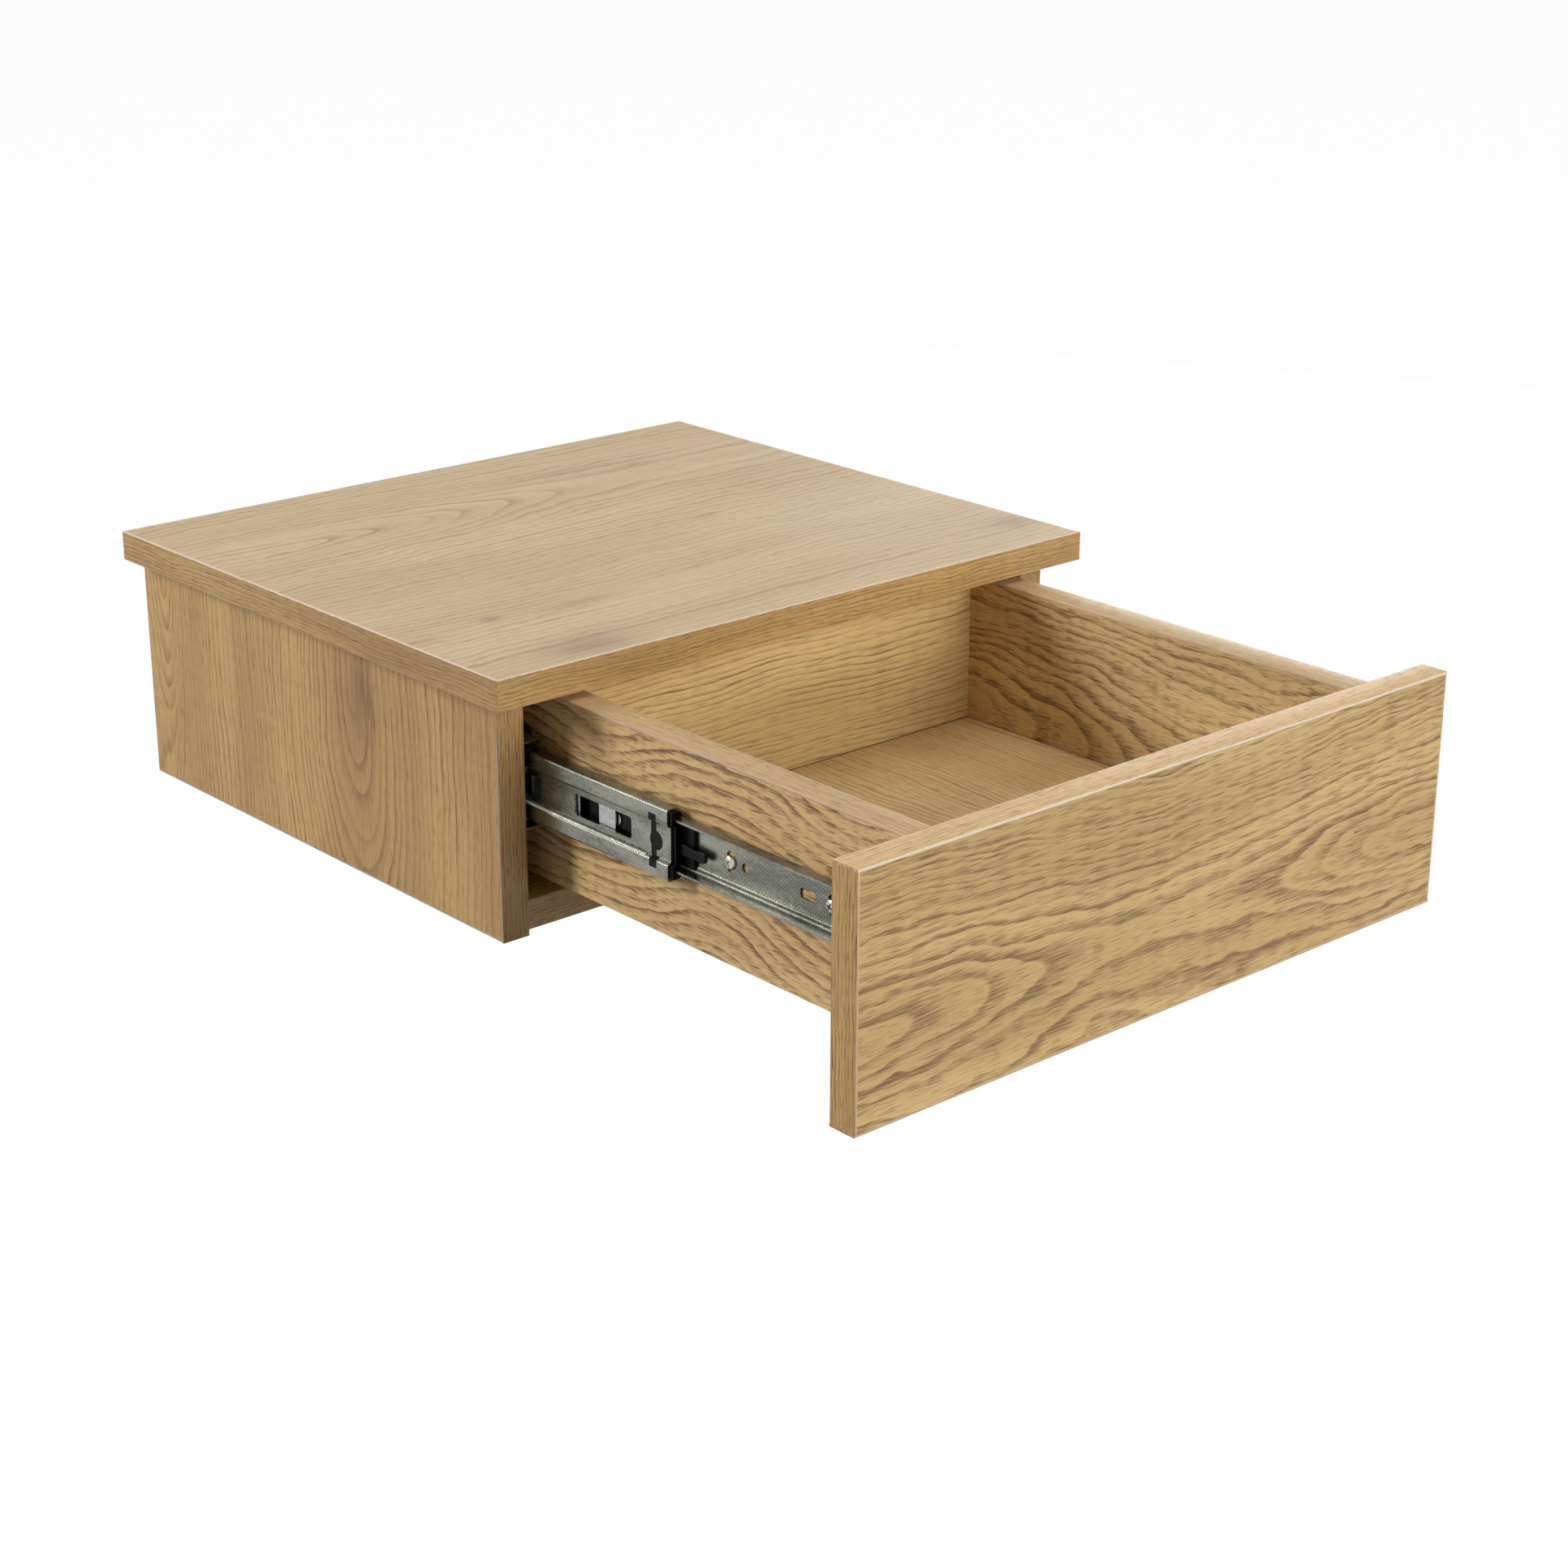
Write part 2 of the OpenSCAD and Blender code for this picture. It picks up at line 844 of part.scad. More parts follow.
// Middle member: its web is set back between two bands, and its edges turn in
module middle_section() {
  inner = mid_half - rail_metal;
  slope = rail_metal * 0.5;
  twin_section(
    [[rail_u + recess_u, band_z - step_z], [rail_u, band_z], [rail_u, mid_half - 0.9],
     [rail_u + 0.9, mid_half], [lip_u, mid_half], [lip_u + lip_reach, mid_half - lip_fall]],
    [[rail_u + recess_u + rail_metal, band_z - step_z + slope], [rail_u + rail_metal, band_z + slope],
     [rail_u + rail_metal, inner - 0.4], [rail_u + rail_metal + 0.4, inner],
     [lip_u - 0.4, inner], [lip_u + lip_reach - 0.7, mid_half - lip_fall - 0.9]]);
}

// Outline of the guide's clip in Y and Z, grown by g all round
module clip_outline(g) {
  for (s = [-1, 1])
    translate([pad_y[0] - g, (s > 0 ? pad_z[0] : -pad_z[1]) - g])
      square([pad_y[1] - pad_y[0] + 2 * g, pad_z[1] - pad_z[0] + 2 * g]);
  translate([bar_y[0] - g, -pad_z[0] - g])
    square([bar_y[1] - bar_y[0] + 2 * g, 2 * pad_z[0] + 2 * g]);
  translate([bar_y[0], hump_z])
    circle(r = hump_r + g);
}

module middle_member(side) {
  color([0.56, 0.56, 0.52])
    at_slide(side)
      difference() {
        along(mid_front, mid_front + mid_len)
          middle_section();
        for (y = window_y)
          translate([0, mid_front + y, 0])
            across(rail_u - 1, rail_u + recess_u + rail_metal + 0.5)
              window(0, window_len, window_half, window_r);
        translate([0, mid_front, 0])
          across(rail_u - 1, rail_u + recess_u + rail_metal + 0.2)
            clip_outline(fit);
        translate([rail_u, mid_front + nick_y, -mid_half])
          rotate([45, 0, 0])
            cube(nick_size, center = true);
      }
}

module middle_member_left() {
  middle_member(left);
}

module middle_member_right() {
  middle_member(right);
}

// Front guide: a moulded collar in the end of the middle member, clipped through its web
module guide_section() {
  inner = mid_half - rail_metal - guide_play;
  low = drawer_half + guide_gap;
  twin_section(
    [[guide_u, guide_step_z], [guide_band_u, guide_step_z + step_z],
     [guide_band_u, inner], [guide_end_u - 1.7, inner], [guide_end_u, inner - 1.3],
     [guide_end_u, low]],
    [[guide_u + guide_t, guide_step_z + 0.5], [guide_band_u + guide_t, guide_step_z + step_z + 0.5],
     [guide_band_u + guide_t, low], [guide_end_u - 0.1, low]]);
}

module clip_section() {
  twin_section(
    [[rail_u + recess_u + 0.1, pad_z[0] + 0.36], [rail_u + 0.1, pad_z[0] + 0.36 + step_z],
     [rail_u + 0.1, pad_z[1]]],
    [[guide_u + 0.2, guide_step_z + 0.1], [guide_band_u + 0.2, guide_step_z + step_z + 0.1],
     [guide_band_u + 0.2, pad_z[1]]]);
}

module front_guide(side) {
  color([0.07, 0.07, 0.08])
    at_slide(side)
      union() {
        along(mid_front - guide_nose, mid_front + guide_len)
          guide_section();
        intersection() {
          along(mid_front, mid_front + guide_len)
            clip_section();
          translate([0, mid_front, 0])
            across(0, slide_gap)
              clip_outline(0);
        }
      }
}

module front_guide_left() {
  front_guide(left);
}

module front_guide_right() {
  front_guide(right);
}

module inner_cage(side) {
  color([0.62, 0.62, 0.62])
    at_slide(side)
      cage(inner_cage_y, inner_cage_len, inner_pitch, inner_ball_u, inner_ball_z)
        cage_section(inner_web_u, inner_step_u, inner_step_z, inner_ball_z, inner_end_u);
}

module inner_cage_left() {
  inner_cage(left);
}

module inner_cage_right() {
  inner_cage(right);
}

module inner_balls(side) {
  color([0.8, 0.8, 0.82])
    at_slide(side)
      balls(inner_cage_y, inner_cage_len, inner_pitch, inner_ball_u, inner_ball_z);
}

module inner_balls_left() {
  inner_balls(left);
}

module inner_balls_right() {
  inner_balls(right);
}

module drawer_section() {
  inner = drawer_half - rail_metal;
  twin_section(
    [[slide_gap, drawer_half - 0.9], [slide_gap - 0.9, drawer_half], [flange_u, drawer_half]],
    [[web_u, inner - 0.5], [web_u - 0.5, inner], [flange_u, inner]]);
}

module rail_screw_places() {
  for (y = rail_screw_y)
    translate([0, rail_front + y, 0])
      children();
}

module drawer_member(side) {
  color([0.55, 0.56, 0.55])
    at_slide(side)
      difference() {
        along(rail_front, rail_rear)
          drawer_section();
        rail_screw_places()
          across(web_u - 1, slide_gap + 1)
            window(-slot_r, slot_r, slot_r + slot_half, slot_r - 0.1);
        rod_x(web_u - 1, slide_gap + 1, rail_front + rail_hole_y, 0, rail_hole_r);
        translate([0, rail_front + rail_slot_y, 0])
          across(web_u - 1, slide_gap + 1)
            window(-rail_slot_half, rail_slot_half, 2.3, 1.4);
      }
}

module drawer_member_left() {
  drawer_member(left);
}

module drawer_member_right() {
  drawer_member(right);
}

module drawer_member_screws() {
  color([0.8, 0.8, 0.8])
    for (side = [left, right])
      at_slide(side)
        rail_screw_places()
          translate([web_u, 0, 0])
            mirror([1, 0, 0])
              pan_screw(screw_bite, rail_metal);
}

// Release lever: a moulded base on the drawer member, and a pointed lever on a rivet
module lever_base(side) {
  color([0.06, 0.06, 0.07])
    at_slide(side)
      translate([0, rail_front, 0])
        difference() {
          across(web_u - base_t, web_u)
            window(base_y[0], base_y[1], base_half, 1.2);
          rod_x(web_u - base_t - 1, web_u + 1, lever_pivot_y, 0, rivet_r + fit);
        }
}

module lever_base_left() {
  lever_base(left);
}

module lever_base_right() {
  lever_base(right);
}

module lever_outline() {
  translate([lever_pivot_y, 0])
    circle(r = boss_r);
  translate([lever_tip_y + lever_half, lever_tip_z])
    circle(r = lever_half);
  polygon([
    [lever_tip_y + lever_half, lever_tip_z + lever_half],
    [lever_tip_y + lever_half, lever_tip_z - lever_half],
    [lever_pivot_y, -boss_r + 1],
    [lever_pivot_y, boss_r - 1.5]]);
}

module release_lever(side) {
  color([0.09, 0.09, 0.1])
    at_slide(side)
      translate([0, rail_front, 0])
        difference() {
          across(lever_u0, lever_u1)
            lever_outline();
          rod_x(lever_u0 - 1, lever_u1 + 1, lever_pivot_y, 0, rivet_r + rivet_play);
        }
}

module release_lever_left() {
  release_lever(left);
}

module release_lever_right() {
  release_lever(right);
}

module lever_rivets() {
  color([0.7, 0.7, 0.7])
    for (side = [left, right])
      at_slide(side)
        translate([0, rail_front, 0]) {
          rod_x(lever_u0 - rivet_play, web_u, lever_pivot_y, 0, rivet_r);
          rod_x(lever_u0 - rivet_play - rivet_head_t, lever_u0 - rivet_play, lever_pivot_y, 0,
                rivet_head_r);
        }
}

// Places of the joints on the left half of the drawer
module box_cam_places() {
  for (z = box_cam_z)
    translate([-(box_in + box_out) / 2, front_y1, z])
      rotate([90, 0, 90])
        children();
}

module box_dowel_place() {
  translate([-(box_in + box_out) / 2, front_y1, box_dowel_z])
    rotate([90, 0, 90])
      children();
}

module back_screw_places() {
  for (z = back_screw_z)
    translate([-box_out, box_y1 - box_back_t / 2, z])
      children();
}

module back_screw() {
  rod_x(0, back_head_h, 0, 0, back_head_r);
  rod_x(back_head_h, back_screw_len, 0, 0, back_screw_r);
}

module back_screw_cut() {
  rod_x(-1, back_head_h + fit, 0, 0, back_head_r + fit);
  rod_x(back_head_h, back_screw_len + 1, 0, 0, back_screw_r + fit);
}

module floor_screw_places() {
  for (x = floor_screw_x)
    translate([x, box_y1 - box_back_t / 2, floor_z0])
      children();
}

module floor_screw() {
  rod_z(0, 0, -floor_head_h, 0, floor_head_r);
  rod_z(0, 0, 0, floor_t + floor_screw_bite, floor_screw_r);
}

module floor_cut(grow) {
  bar_box([-box_in - groove_depth - grow, front_y1 - groove_depth - grow, floor_z0 - grow],
          [box_in + groove_depth + grow, box_y1 + 1, floor_z1 + grow]);
}

module box_cuts() {
  box_cam_places()
    cam_cut(box_side_t);
  box_dowel_place()
    dowel_cut();
  back_screw_places()
    back_screw_cut();
}

module drawer_front() {
  color([0.77, 0.6, 0.38])
    difference() {
      bar_box([-top_w / 2 + band_t, front_y0, low_z + band_t], [top_w / 2 - band_t, front_y1, front_z1 - band_t]);
      both_sides()
        box_cuts();
      floor_cut(floor_play / 2);
    }
}

module drawer_side(side) {
  color([0.76, 0.6, 0.38])
    on_side(side)
      difference() {
        bar_box([-box_out, front_y1, box_z0], [-box_in, box_y1, box_z1 - band_t]);
        box_cuts();
        floor_cut(floor_play / 2);
        at_slide(left)
          rail_screw_places()
            rod_x(slide_gap - 1, slide_gap + screw_bite + 1, 0, 0, screw_r + fit);
      }
}

module drawer_left_side() {
  drawer_side(left);
}

module drawer_right_side() {
  drawer_side(right);
}

module drawer_back() {
  color([0.74, 0.57, 0.36])
    difference() {
      bar_box([-box_in, back_in, floor_z1 + 0.3], [box_in, box_y1, box_z1 - band_t]);
      both_sides()
        back_screw_places()
          back_screw_cut();
      floor_screw_places()
        rod_z(0, 0, 0, floor_t + floor_screw_bite + 1, floor_screw_r + fit);
    }
}

module drawer_floor() {
  color([0.7, 0.53, 0.33])
    difference() {
      bar_box([-box_in - groove_depth + 0.2, front_y1 - groove_depth + 0.2, floor_z0],
              [box_in + groove_depth - 0.2, box_y1, floor_z1]);
      floor_screw_places()
        rod_z(0, 0, -1, floor_t + 1, floor_screw_r + fit);
    }
}

module drawer_front_bands() {
  inner_h = front_z1 - low_z - 2 * band_t;
  color([0.78, 0.62, 0.4]) {
    translate([-top_w / 2, front_y0, front_z1 - band_t])
      rotate([-90, -90, 0])
        band(top_w, front_t);
    translate([-top_w / 2, front_y0, low_z + band_t])
      mirror([0, 0, 1])
        rotate([-90, -90, 0])
          band(top_w, front_t);
    both_sides()
      translate([-top_w / 2 + band_t, front_y0, low_z + band_t])
        rotate([90, 0, 180])
          band(inner_h, front_t);
  }
}

module drawer_box_bands() {
  color([0.82, 0.67, 0.47]) {
    both_sides()
      translate([-box_in, front_y1, box_z1 - band_t])
        rotate([0, -90, 0])
          band(box_len, box_side_t);
    translate([-box_in, back_in, box_z1 - band_t])
      rotate([-90, -90, 0])
        band(2 * box_in, box_back_t);
  }
}

module drawer_cams() {
  color([0.68, 0.68, 0.7])
    both_sides()
      box_cam_places()
        cam_housing(box_side_t);
}

module drawer_cam_bolts() {
  color([0.72, 0.7, 0.62])
    both_sides()
      box_cam_places()
        cam_bolt();
}

module drawer_dowels() {
  color([0.85, 0.74, 0.55])
    both_sides()
      box_dowel_place()
        dowel();
}

module drawer_cam_caps() {
  color([0.74, 0.58, 0.37])
    both_sides()
      box_cam_places()
        cam_cap(box_side_t);
}

module drawer_back_screws() {
  color([0.72, 0.7, 0.62])
    both_sides()
      back_screw_places()
        back_screw();
}

module floor_screws() {
  color([0.72, 0.72, 0.72])
    floor_screw_places()
      floor_screw();
}

top_panel();
left_side_panel();
right_side_panel();
bottom_panel();
back_board();
top_edge_bands();
side_edge_bands();
bottom_edge_band();
case_cams();
case_cam_bolts();
case_dowels();
case_cam_caps();
corner_blocks();
corner_block_screws();
cabinet_member_left();
cabinet_member_right();
cabinet_member_screws();
rear_stops();
outer_cage_left();
outer_cage_right();
outer_balls_left();
outer_balls_right();
middle_member_left();
middle_member_right();
front_guide_left();
front_guide_right();
inner_cage_left();
inner_cage_right();
inner_balls_left();
inner_balls_right();
drawer_member_left();
drawer_member_right();
drawer_member_screws();
lever_base_left();
lever_base_right();
release_lever_left();
release_lever_right();
lever_rivets();
drawer_front();
drawer_left_side();
drawer_right_side();
drawer_back();
drawer_floor();
drawer_front_bands();
drawer_box_bands();
drawer_cams();
drawer_cam_bolts();
drawer_dowels();
drawer_cam_caps();
drawer_back_screws();
floor_screws();
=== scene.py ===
import math
import bpy
import bmesh
from mathutils import Matrix, Vector


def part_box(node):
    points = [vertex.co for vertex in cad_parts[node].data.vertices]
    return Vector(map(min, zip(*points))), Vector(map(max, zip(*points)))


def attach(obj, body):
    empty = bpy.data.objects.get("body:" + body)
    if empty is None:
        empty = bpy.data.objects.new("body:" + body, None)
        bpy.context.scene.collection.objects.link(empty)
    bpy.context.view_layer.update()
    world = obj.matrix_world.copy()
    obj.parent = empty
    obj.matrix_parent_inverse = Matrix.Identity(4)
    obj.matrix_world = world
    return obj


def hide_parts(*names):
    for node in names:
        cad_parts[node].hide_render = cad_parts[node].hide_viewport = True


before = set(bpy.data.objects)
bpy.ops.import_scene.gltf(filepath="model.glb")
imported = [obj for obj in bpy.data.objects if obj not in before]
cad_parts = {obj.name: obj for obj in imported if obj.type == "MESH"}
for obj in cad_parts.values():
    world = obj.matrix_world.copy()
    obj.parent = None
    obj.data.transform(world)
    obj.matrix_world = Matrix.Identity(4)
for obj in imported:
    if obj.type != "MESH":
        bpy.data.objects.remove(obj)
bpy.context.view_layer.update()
print("frame loaded:", len(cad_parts), "CAD nodes")

mm = 0.001


# camera and studio

view = {
    "lens": 68.057, "sensor": 36,      # mm
    "place": (-0.90400, -1.32192, 0.47278),      # m, from the wall screws' centre
    "turn": 41.555,    # degrees to the right of straight ahead
    "tip": 20.379,     # degrees down
    "roll": 0.158,
    "near": 0.05, "far": 60,
}


def newObject(name, data):
    made = bpy.data.objects.new(name, data)
    bpy.context.scene.collection.objects.link(made)
    return made


def placeCamera(v):
    cam = newObject("camera", bpy.data.cameras.new("camera"))
    cam.data.lens = v["lens"]
    cam.data.sensor_width = v["sensor"]
    cam.data.clip_start = v["near"]
    cam.data.clip_end = v["far"]
    spin = (Matrix.Rotation(-math.radians(v["turn"]), 4, "Z")
            @ Matrix.Rotation(math.radians(90 - v["tip"]), 4, "X")
            @ Matrix.Rotation(math.radians(v["roll"]), 4, "Z"))
    cam.matrix_world = Matrix.Translation(v["place"]) @ spin
    bpy.context.scene.camera = cam


def paint(r, g, b):
    # a colour as read on screen, 0 to 255
    out = []
    for c in (r, g, b):
        c /= 255
        out.append(c / 12.92 if c <= 0.04045 else ((c + 0.055) / 1.055) ** 2.4)
    return (*out, 1.0)


class Wires:
    # shorthands for wiring one node tree
    def __init__(self, tree):
        self.tree = tree
        self.count = 0

    def node(self, kind, inputs=(), **settings):
        made = self.tree.nodes.new(kind)
        made.location = (200 * (self.count % 12), -260 * (self.count // 12))
        self.count += 1
        for key, value in settings.items():
            setattr(made, key, value)
        for key, value in dict(inputs).items():
            if isinstance(value, bpy.types.NodeSocket):
                self.tree.links.new(value, made.inputs[key])
            elif value is not None:
                made.inputs[key].default_value = value
        return made

    def math(self, operation, a, b=None, c=None, clamp=False):
        return self.node("ShaderNodeMath", {0: a, 1: b, 2: c},
                         operation=operation, use_clamp=clamp).outputs[0]

    def times(self, a, b):
        return self.math("MULTIPLY", a, b)

    def plus(self, a, b):
        return self.math("ADD", a, b)

    def vector(self, operation, a, b):
        made = self.node("ShaderNodeVectorMath", {0: a, 1: b}, operation=operation)
        return made.outputs["Value" if operation == "DOT_PRODUCT" else "Vector"]

    def smooth(self, value, low, high, first=0.0, last=1.0):
        return self.node("ShaderNodeMapRange",
                         {"Value": value, "From Min": low, "From Max": high,
                          "To Min": first, "To Max": last},
                         interpolation_type="SMOOTHSTEP").outputs["Result"]

    def noise(self, place, scale, detail=2.0, rough=0.5, dims="2D"):
        scaled = self.vector("MULTIPLY", place, scale)
        return self.node("ShaderNodeTexNoise",
                         {"Vector": scaled, "Scale": 1.0, "Detail": detail, "Roughness": rough},
                         noise_dimensions=dims).outputs[0]

    def noise1(self, value, scale):
        return self.node("ShaderNodeTexNoise", {"W": value, "Scale": scale, "Detail": 0.0},
                         noise_dimensions="1D").outputs[0]

    def blend(self, share, a, b):
        return self.node("ShaderNodeMix", {0: share, 6: a, 7: b}, data_type="RGBA").outputs[2]

    def placeInMm(self):
        place = self.node("ShaderNodeTexCoord").outputs["Object"]
        return self.vector("MULTIPLY", place, (1000,) * 3)

    def split(self, vector):
        return self.node("ShaderNodeSeparateXYZ", {0: vector}).outputs


def newMaterial(name):
    made = bpy.data.materials.new(name)
    made.use_nodes = True
    made.node_tree.nodes.clear()
    return made, Wires(made.node_tree)


def shader(w, colour, rough, bump, metal=0.0, depth=0.05, **constants):
    # the surface itself; depth is the bump's full depth in mm
    relief = w.node("ShaderNodeBump", {"Strength": 1.0, "Distance": depth * mm,
                                       "Height": bump}).outputs["Normal"]
    body = w.node("ShaderNodeBsdfPrincipled", {
        "Base Color": colour, "Roughness": rough, "Metallic": metal, "Normal": relief,
        **constants})
    w.node("ShaderNodeOutputMaterial", {"Surface": body.outputs[0]})


studio = {
    "ambient": 0.03,      # light from all round, beside the lamps
    "floorDrop": 0.45, "floorRadius": 9.0,      # m
    "floorGlow": 0.97,    # share of plain white in the floor that is seen
    "floorPale": (0.9, 0.94), "floorGrain": (40, 40, 40),
    "floorBounce": 0.35,  # a white floor would light the cabinet from below
    "aim": (0, -0.28, 0),
    "lamps": (
        # name, place, width and height, watts
        ("softboxFront", (0.4, -3.2, 0.9), (1.4, 1.4), 69),
        ("softboxLeft", (-2.4, 1.3, 1.4), (0.7, 1.4), 67),
        ("softboxTop", (0.1, -0.3, 2.6), (1.6, 1.6), 24),
        ("softboxRear", (2.5, 1.2, 0.05), (1.6, 0.5), 44),
    ),
}


def grey(value):
    return (value, value, value, 1)


def seenRays(w):
    # 1 for rays that show the backdrop, straight or in a gloss, and 0 for those that light
    rays = w.node("ShaderNodeLightPath").outputs
    seen = w.math("MAXIMUM", rays["Is Camera Ray"], rays["Is Glossy Ray"])
    return w.math("MAXIMUM", seen, rays["Is Transmission Ray"])


def lightStudio(s):
    world = bpy.data.worlds.new("studio")
    bpy.context.scene.world = world
    world.use_nodes = True
    world.node_tree.nodes.clear()
    w = Wires(world.node_tree)
    strength = w.math("MULTIPLY_ADD", seenRays(w), 1 - s["ambient"], s["ambient"])
    sky = w.node("ShaderNodeBackground", {"Color": grey(1), "Strength": strength})
    w.node("ShaderNodeOutputWorld", {"Surface": sky.outputs[0]})
    for name, place, size, watts in s["lamps"]:
        lamp = bpy.data.lights.new(name, "AREA")
        lamp.shape = "RECTANGLE"
        lamp.size, lamp.size_y = size
        lamp.energy = watts
        holder = newObject(name, lamp)
        holder.location = place
        aim = Vector(s["aim"]) - Vector(place)
        holder.rotation_euler = aim.to_track_quat("-Z", "Y").to_euler()


def layFloor(s):
    bm = bmesh.new()
    bmesh.ops.create_circle(bm, cap_ends=True, segments=96, radius=s["floorRadius"])
    bmesh.ops.translate(bm, verts=bm.verts, vec=(0, 0, -s["floorDrop"]))
    mesh = bpy.data.meshes.new("studioFloor")
    bm.to_mesh(mesh)
    bm.free()
    material, w = newMaterial("paleFloor")
    place = w.node("ShaderNodeTexCoord").outputs["Object"]
    seen = seenRays(w)
    speckle = w.noise(place, s["floorGrain"], detail=3.0, dims="3D")
    pale = w.blend(speckle, *(grey(c) for c in s["floorPale"]))
    colour = w.blend(seen, grey(s["floorBounce"]), pale)
    matte = w.node("ShaderNodeBsdfDiffuse", {"Color": colour, "Roughness": 0.9})
    white = w.node("ShaderNodeEmission", {"Color": grey(1), "Strength": 1.0})
    share = w.times(seen, s["floorGlow"])
    both = w.node("ShaderNodeMixShader", {0: share, 1: matte.outputs[0], 2: white.outputs[0]})
    w.node("ShaderNodeOutputMaterial", {"Surface": both.outputs[0]})
    mesh.materials.append(material)
    floor = newObject("studioFloor", mesh)


placeCamera(view)
lightStudio(studio)
layFloor(studio)
bpy.context.scene.view_settings.view_transform = "Standard"
print("camera and studio set")


# oak decor: growth rings cut along the board, with dashes of open pores

def shaderGroup(name, vectors, floats, results):
    tree = bpy.data.node_groups.new(name, "ShaderNodeTree")
    for way, kind, labels in (("INPUT", "Vector", vectors), ("INPUT", "Float", floats),
                              ("OUTPUT", "Float", results)):
        for label in labels:
            tree.interface.new_socket(name=label, in_out=way, socket_type="NodeSocket" + kind)
    w = Wires(tree)
    return tree, w, w.node("NodeGroupInput").outputs


def makeHill():
    # a smooth rise round a point of the board, for placing the figure
    tree, w, given = shaderGroup("grainHill", ("Place", "Centre", "Reach"), ("Height",),
                                 ("Rise",))
    away = w.vector("SUBTRACT", given["Place"], given["Centre"])
    away = w.vector("DIVIDE", away, given["Reach"])
    fall = w.math("EXPONENT", w.times(w.vector("DOT_PRODUCT", away, away), -1.0))
    w.node("NodeGroupOutput", {"Rise": w.times(fall, given["Height"])})
    return tree


# scales are turns of the noise per mm, along the grain and across it
printSizes = {
    "slow": (0.007, 0.014, 0), "small": (0.03, 0.06, 0),    # drift of the rings
    "uneven": 0.61, "unevenBy": 0.7,       # change of ring widths
    "darkFrom": 0.12, "darkFall": 0.14,    # late wood, in shares of one ring
    "lineTop": 0.07, "lineEnd": 0.34,      # fine line at the ring's start
    "patch": (0.011, 0.05, 0), "faintest": 0.45,            # where the rings fade
    "streak": (0.085, 2.1, 0), "poreStart": 0.71,           # dashes of open pores
    "fine": (0.14, 3.2, 0), "fineFrom": (431, 77, 0), "fineLate": 0.02, "finePower": 0.7,
    "fibre": (0.012, 0.9, 0), "tone": (0.004, 0.018, 0),
}


def makeOakPrint(g):
    tree, w, given = shaderGroup(
        "oakPrint", ("Place", "Pores"),
        ("Heart", "Depth", "Pitch", "First", "Wander", "Wobble", "Swirl", "Sharp", "Dash", "Edge"),
        ("Band", "Line", "Pore", "Fibre", "Tone"))
    place = given["Place"]
    swirl = w.node("ShaderNodeVectorMath", {0: place, "Scale": given["Swirl"]},
                   operation="SCALE").outputs[0]
    slow = w.plus(w.noise(swirl, g["slow"]), -0.5)
    small = w.plus(w.noise(place, g["small"]), -0.5)
    off = w.plus(given["Heart"], w.plus(w.times(slow, given["Wander"]),
                                        w.times(small, given["Wobble"])))
    radius = w.math("SQRT", w.plus(w.times(off, off), w.times(given["Depth"], given["Depth"])))
    turns = w.plus(w.math("DIVIDE", radius, given["Pitch"]), given["First"])
    turns = w.plus(turns, w.times(w.noise1(turns, g["uneven"]), g["unevenBy"]))
    phase = w.math("FRACT", turns)
    ring = w.node("ShaderNodeTexWhiteNoise", {"W": w.math("FLOOR", turns)},
                  noise_dimensions="1D").outputs[0]
    rise = w.smooth(phase, 0.0, g["darkFrom"])
    band = w.times(rise, w.smooth(phase, g["darkFall"], given["Sharp"], 1.0, 0.0))
    line = w.times(w.smooth(phase, 0.0, g["lineTop"]),
                   w.smooth(phase, g["lineTop"], g["lineEnd"], 1.0, 0.0))
    patch = w.smooth(w.noise(place, g["patch"]), 0.28, 0.62, g["faintest"], 1.0)
    power = w.times(w.math("MULTIPLY_ADD", ring, 0.6, 0.4), patch)
    band = w.times(band, power)
    pores = w.vector("MULTIPLY", place, given["Pores"])
    streak = w.noise(pores, g["streak"], detail=1.0, rough=0.6)
    start = w.math("MULTIPLY_ADD", given["Edge"], -0.5, g["poreStart"])
    start = w.math("MULTIPLY_ADD", band, w.times(given["Dash"], -1.0), start)
    pore = w.smooth(w.math("SUBTRACT", streak, start), 0.0, given["Edge"])
    second = w.noise(w.vector("ADD", pores, g["fineFrom"]), g["fine"], detail=0.0)
    fine = w.smooth(w.math("SUBTRACT", second, w.plus(start, g["fineLate"])), 0.0,
                    given["Edge"], 0.0, g["finePower"])
    broken = w.smooth(streak, 0.3, 0.55, g["faintest"], 1.0)
    w.node("NodeGroupOutput", {
        "Band": band, "Line": w.times(w.times(line, power), broken),
        "Pore": w.math("MAXIMUM", pore, fine),
        "Fibre": w.noise(place, g["fibre"], detail=3.0, rough=0.65),
        "Tone": w.noise(place, g["tone"], detail=1.0)})
    return tree


grainHill = makeHill()
oakPrint = makeOakPrint(printSizes)


def hill(w, place, centre, reach, height):
    given = {"Place": place, "Centre": (*centre, 0), "Reach": (*reach, 1), "Height": height}
    return w.node("ShaderNodeGroup", given, node_tree=grainHill).outputs["Rise"]


def sumHills(w, place, hills, total):
    for one in hills:
        total = w.plus(total, hill(w, place, *one))
    return total


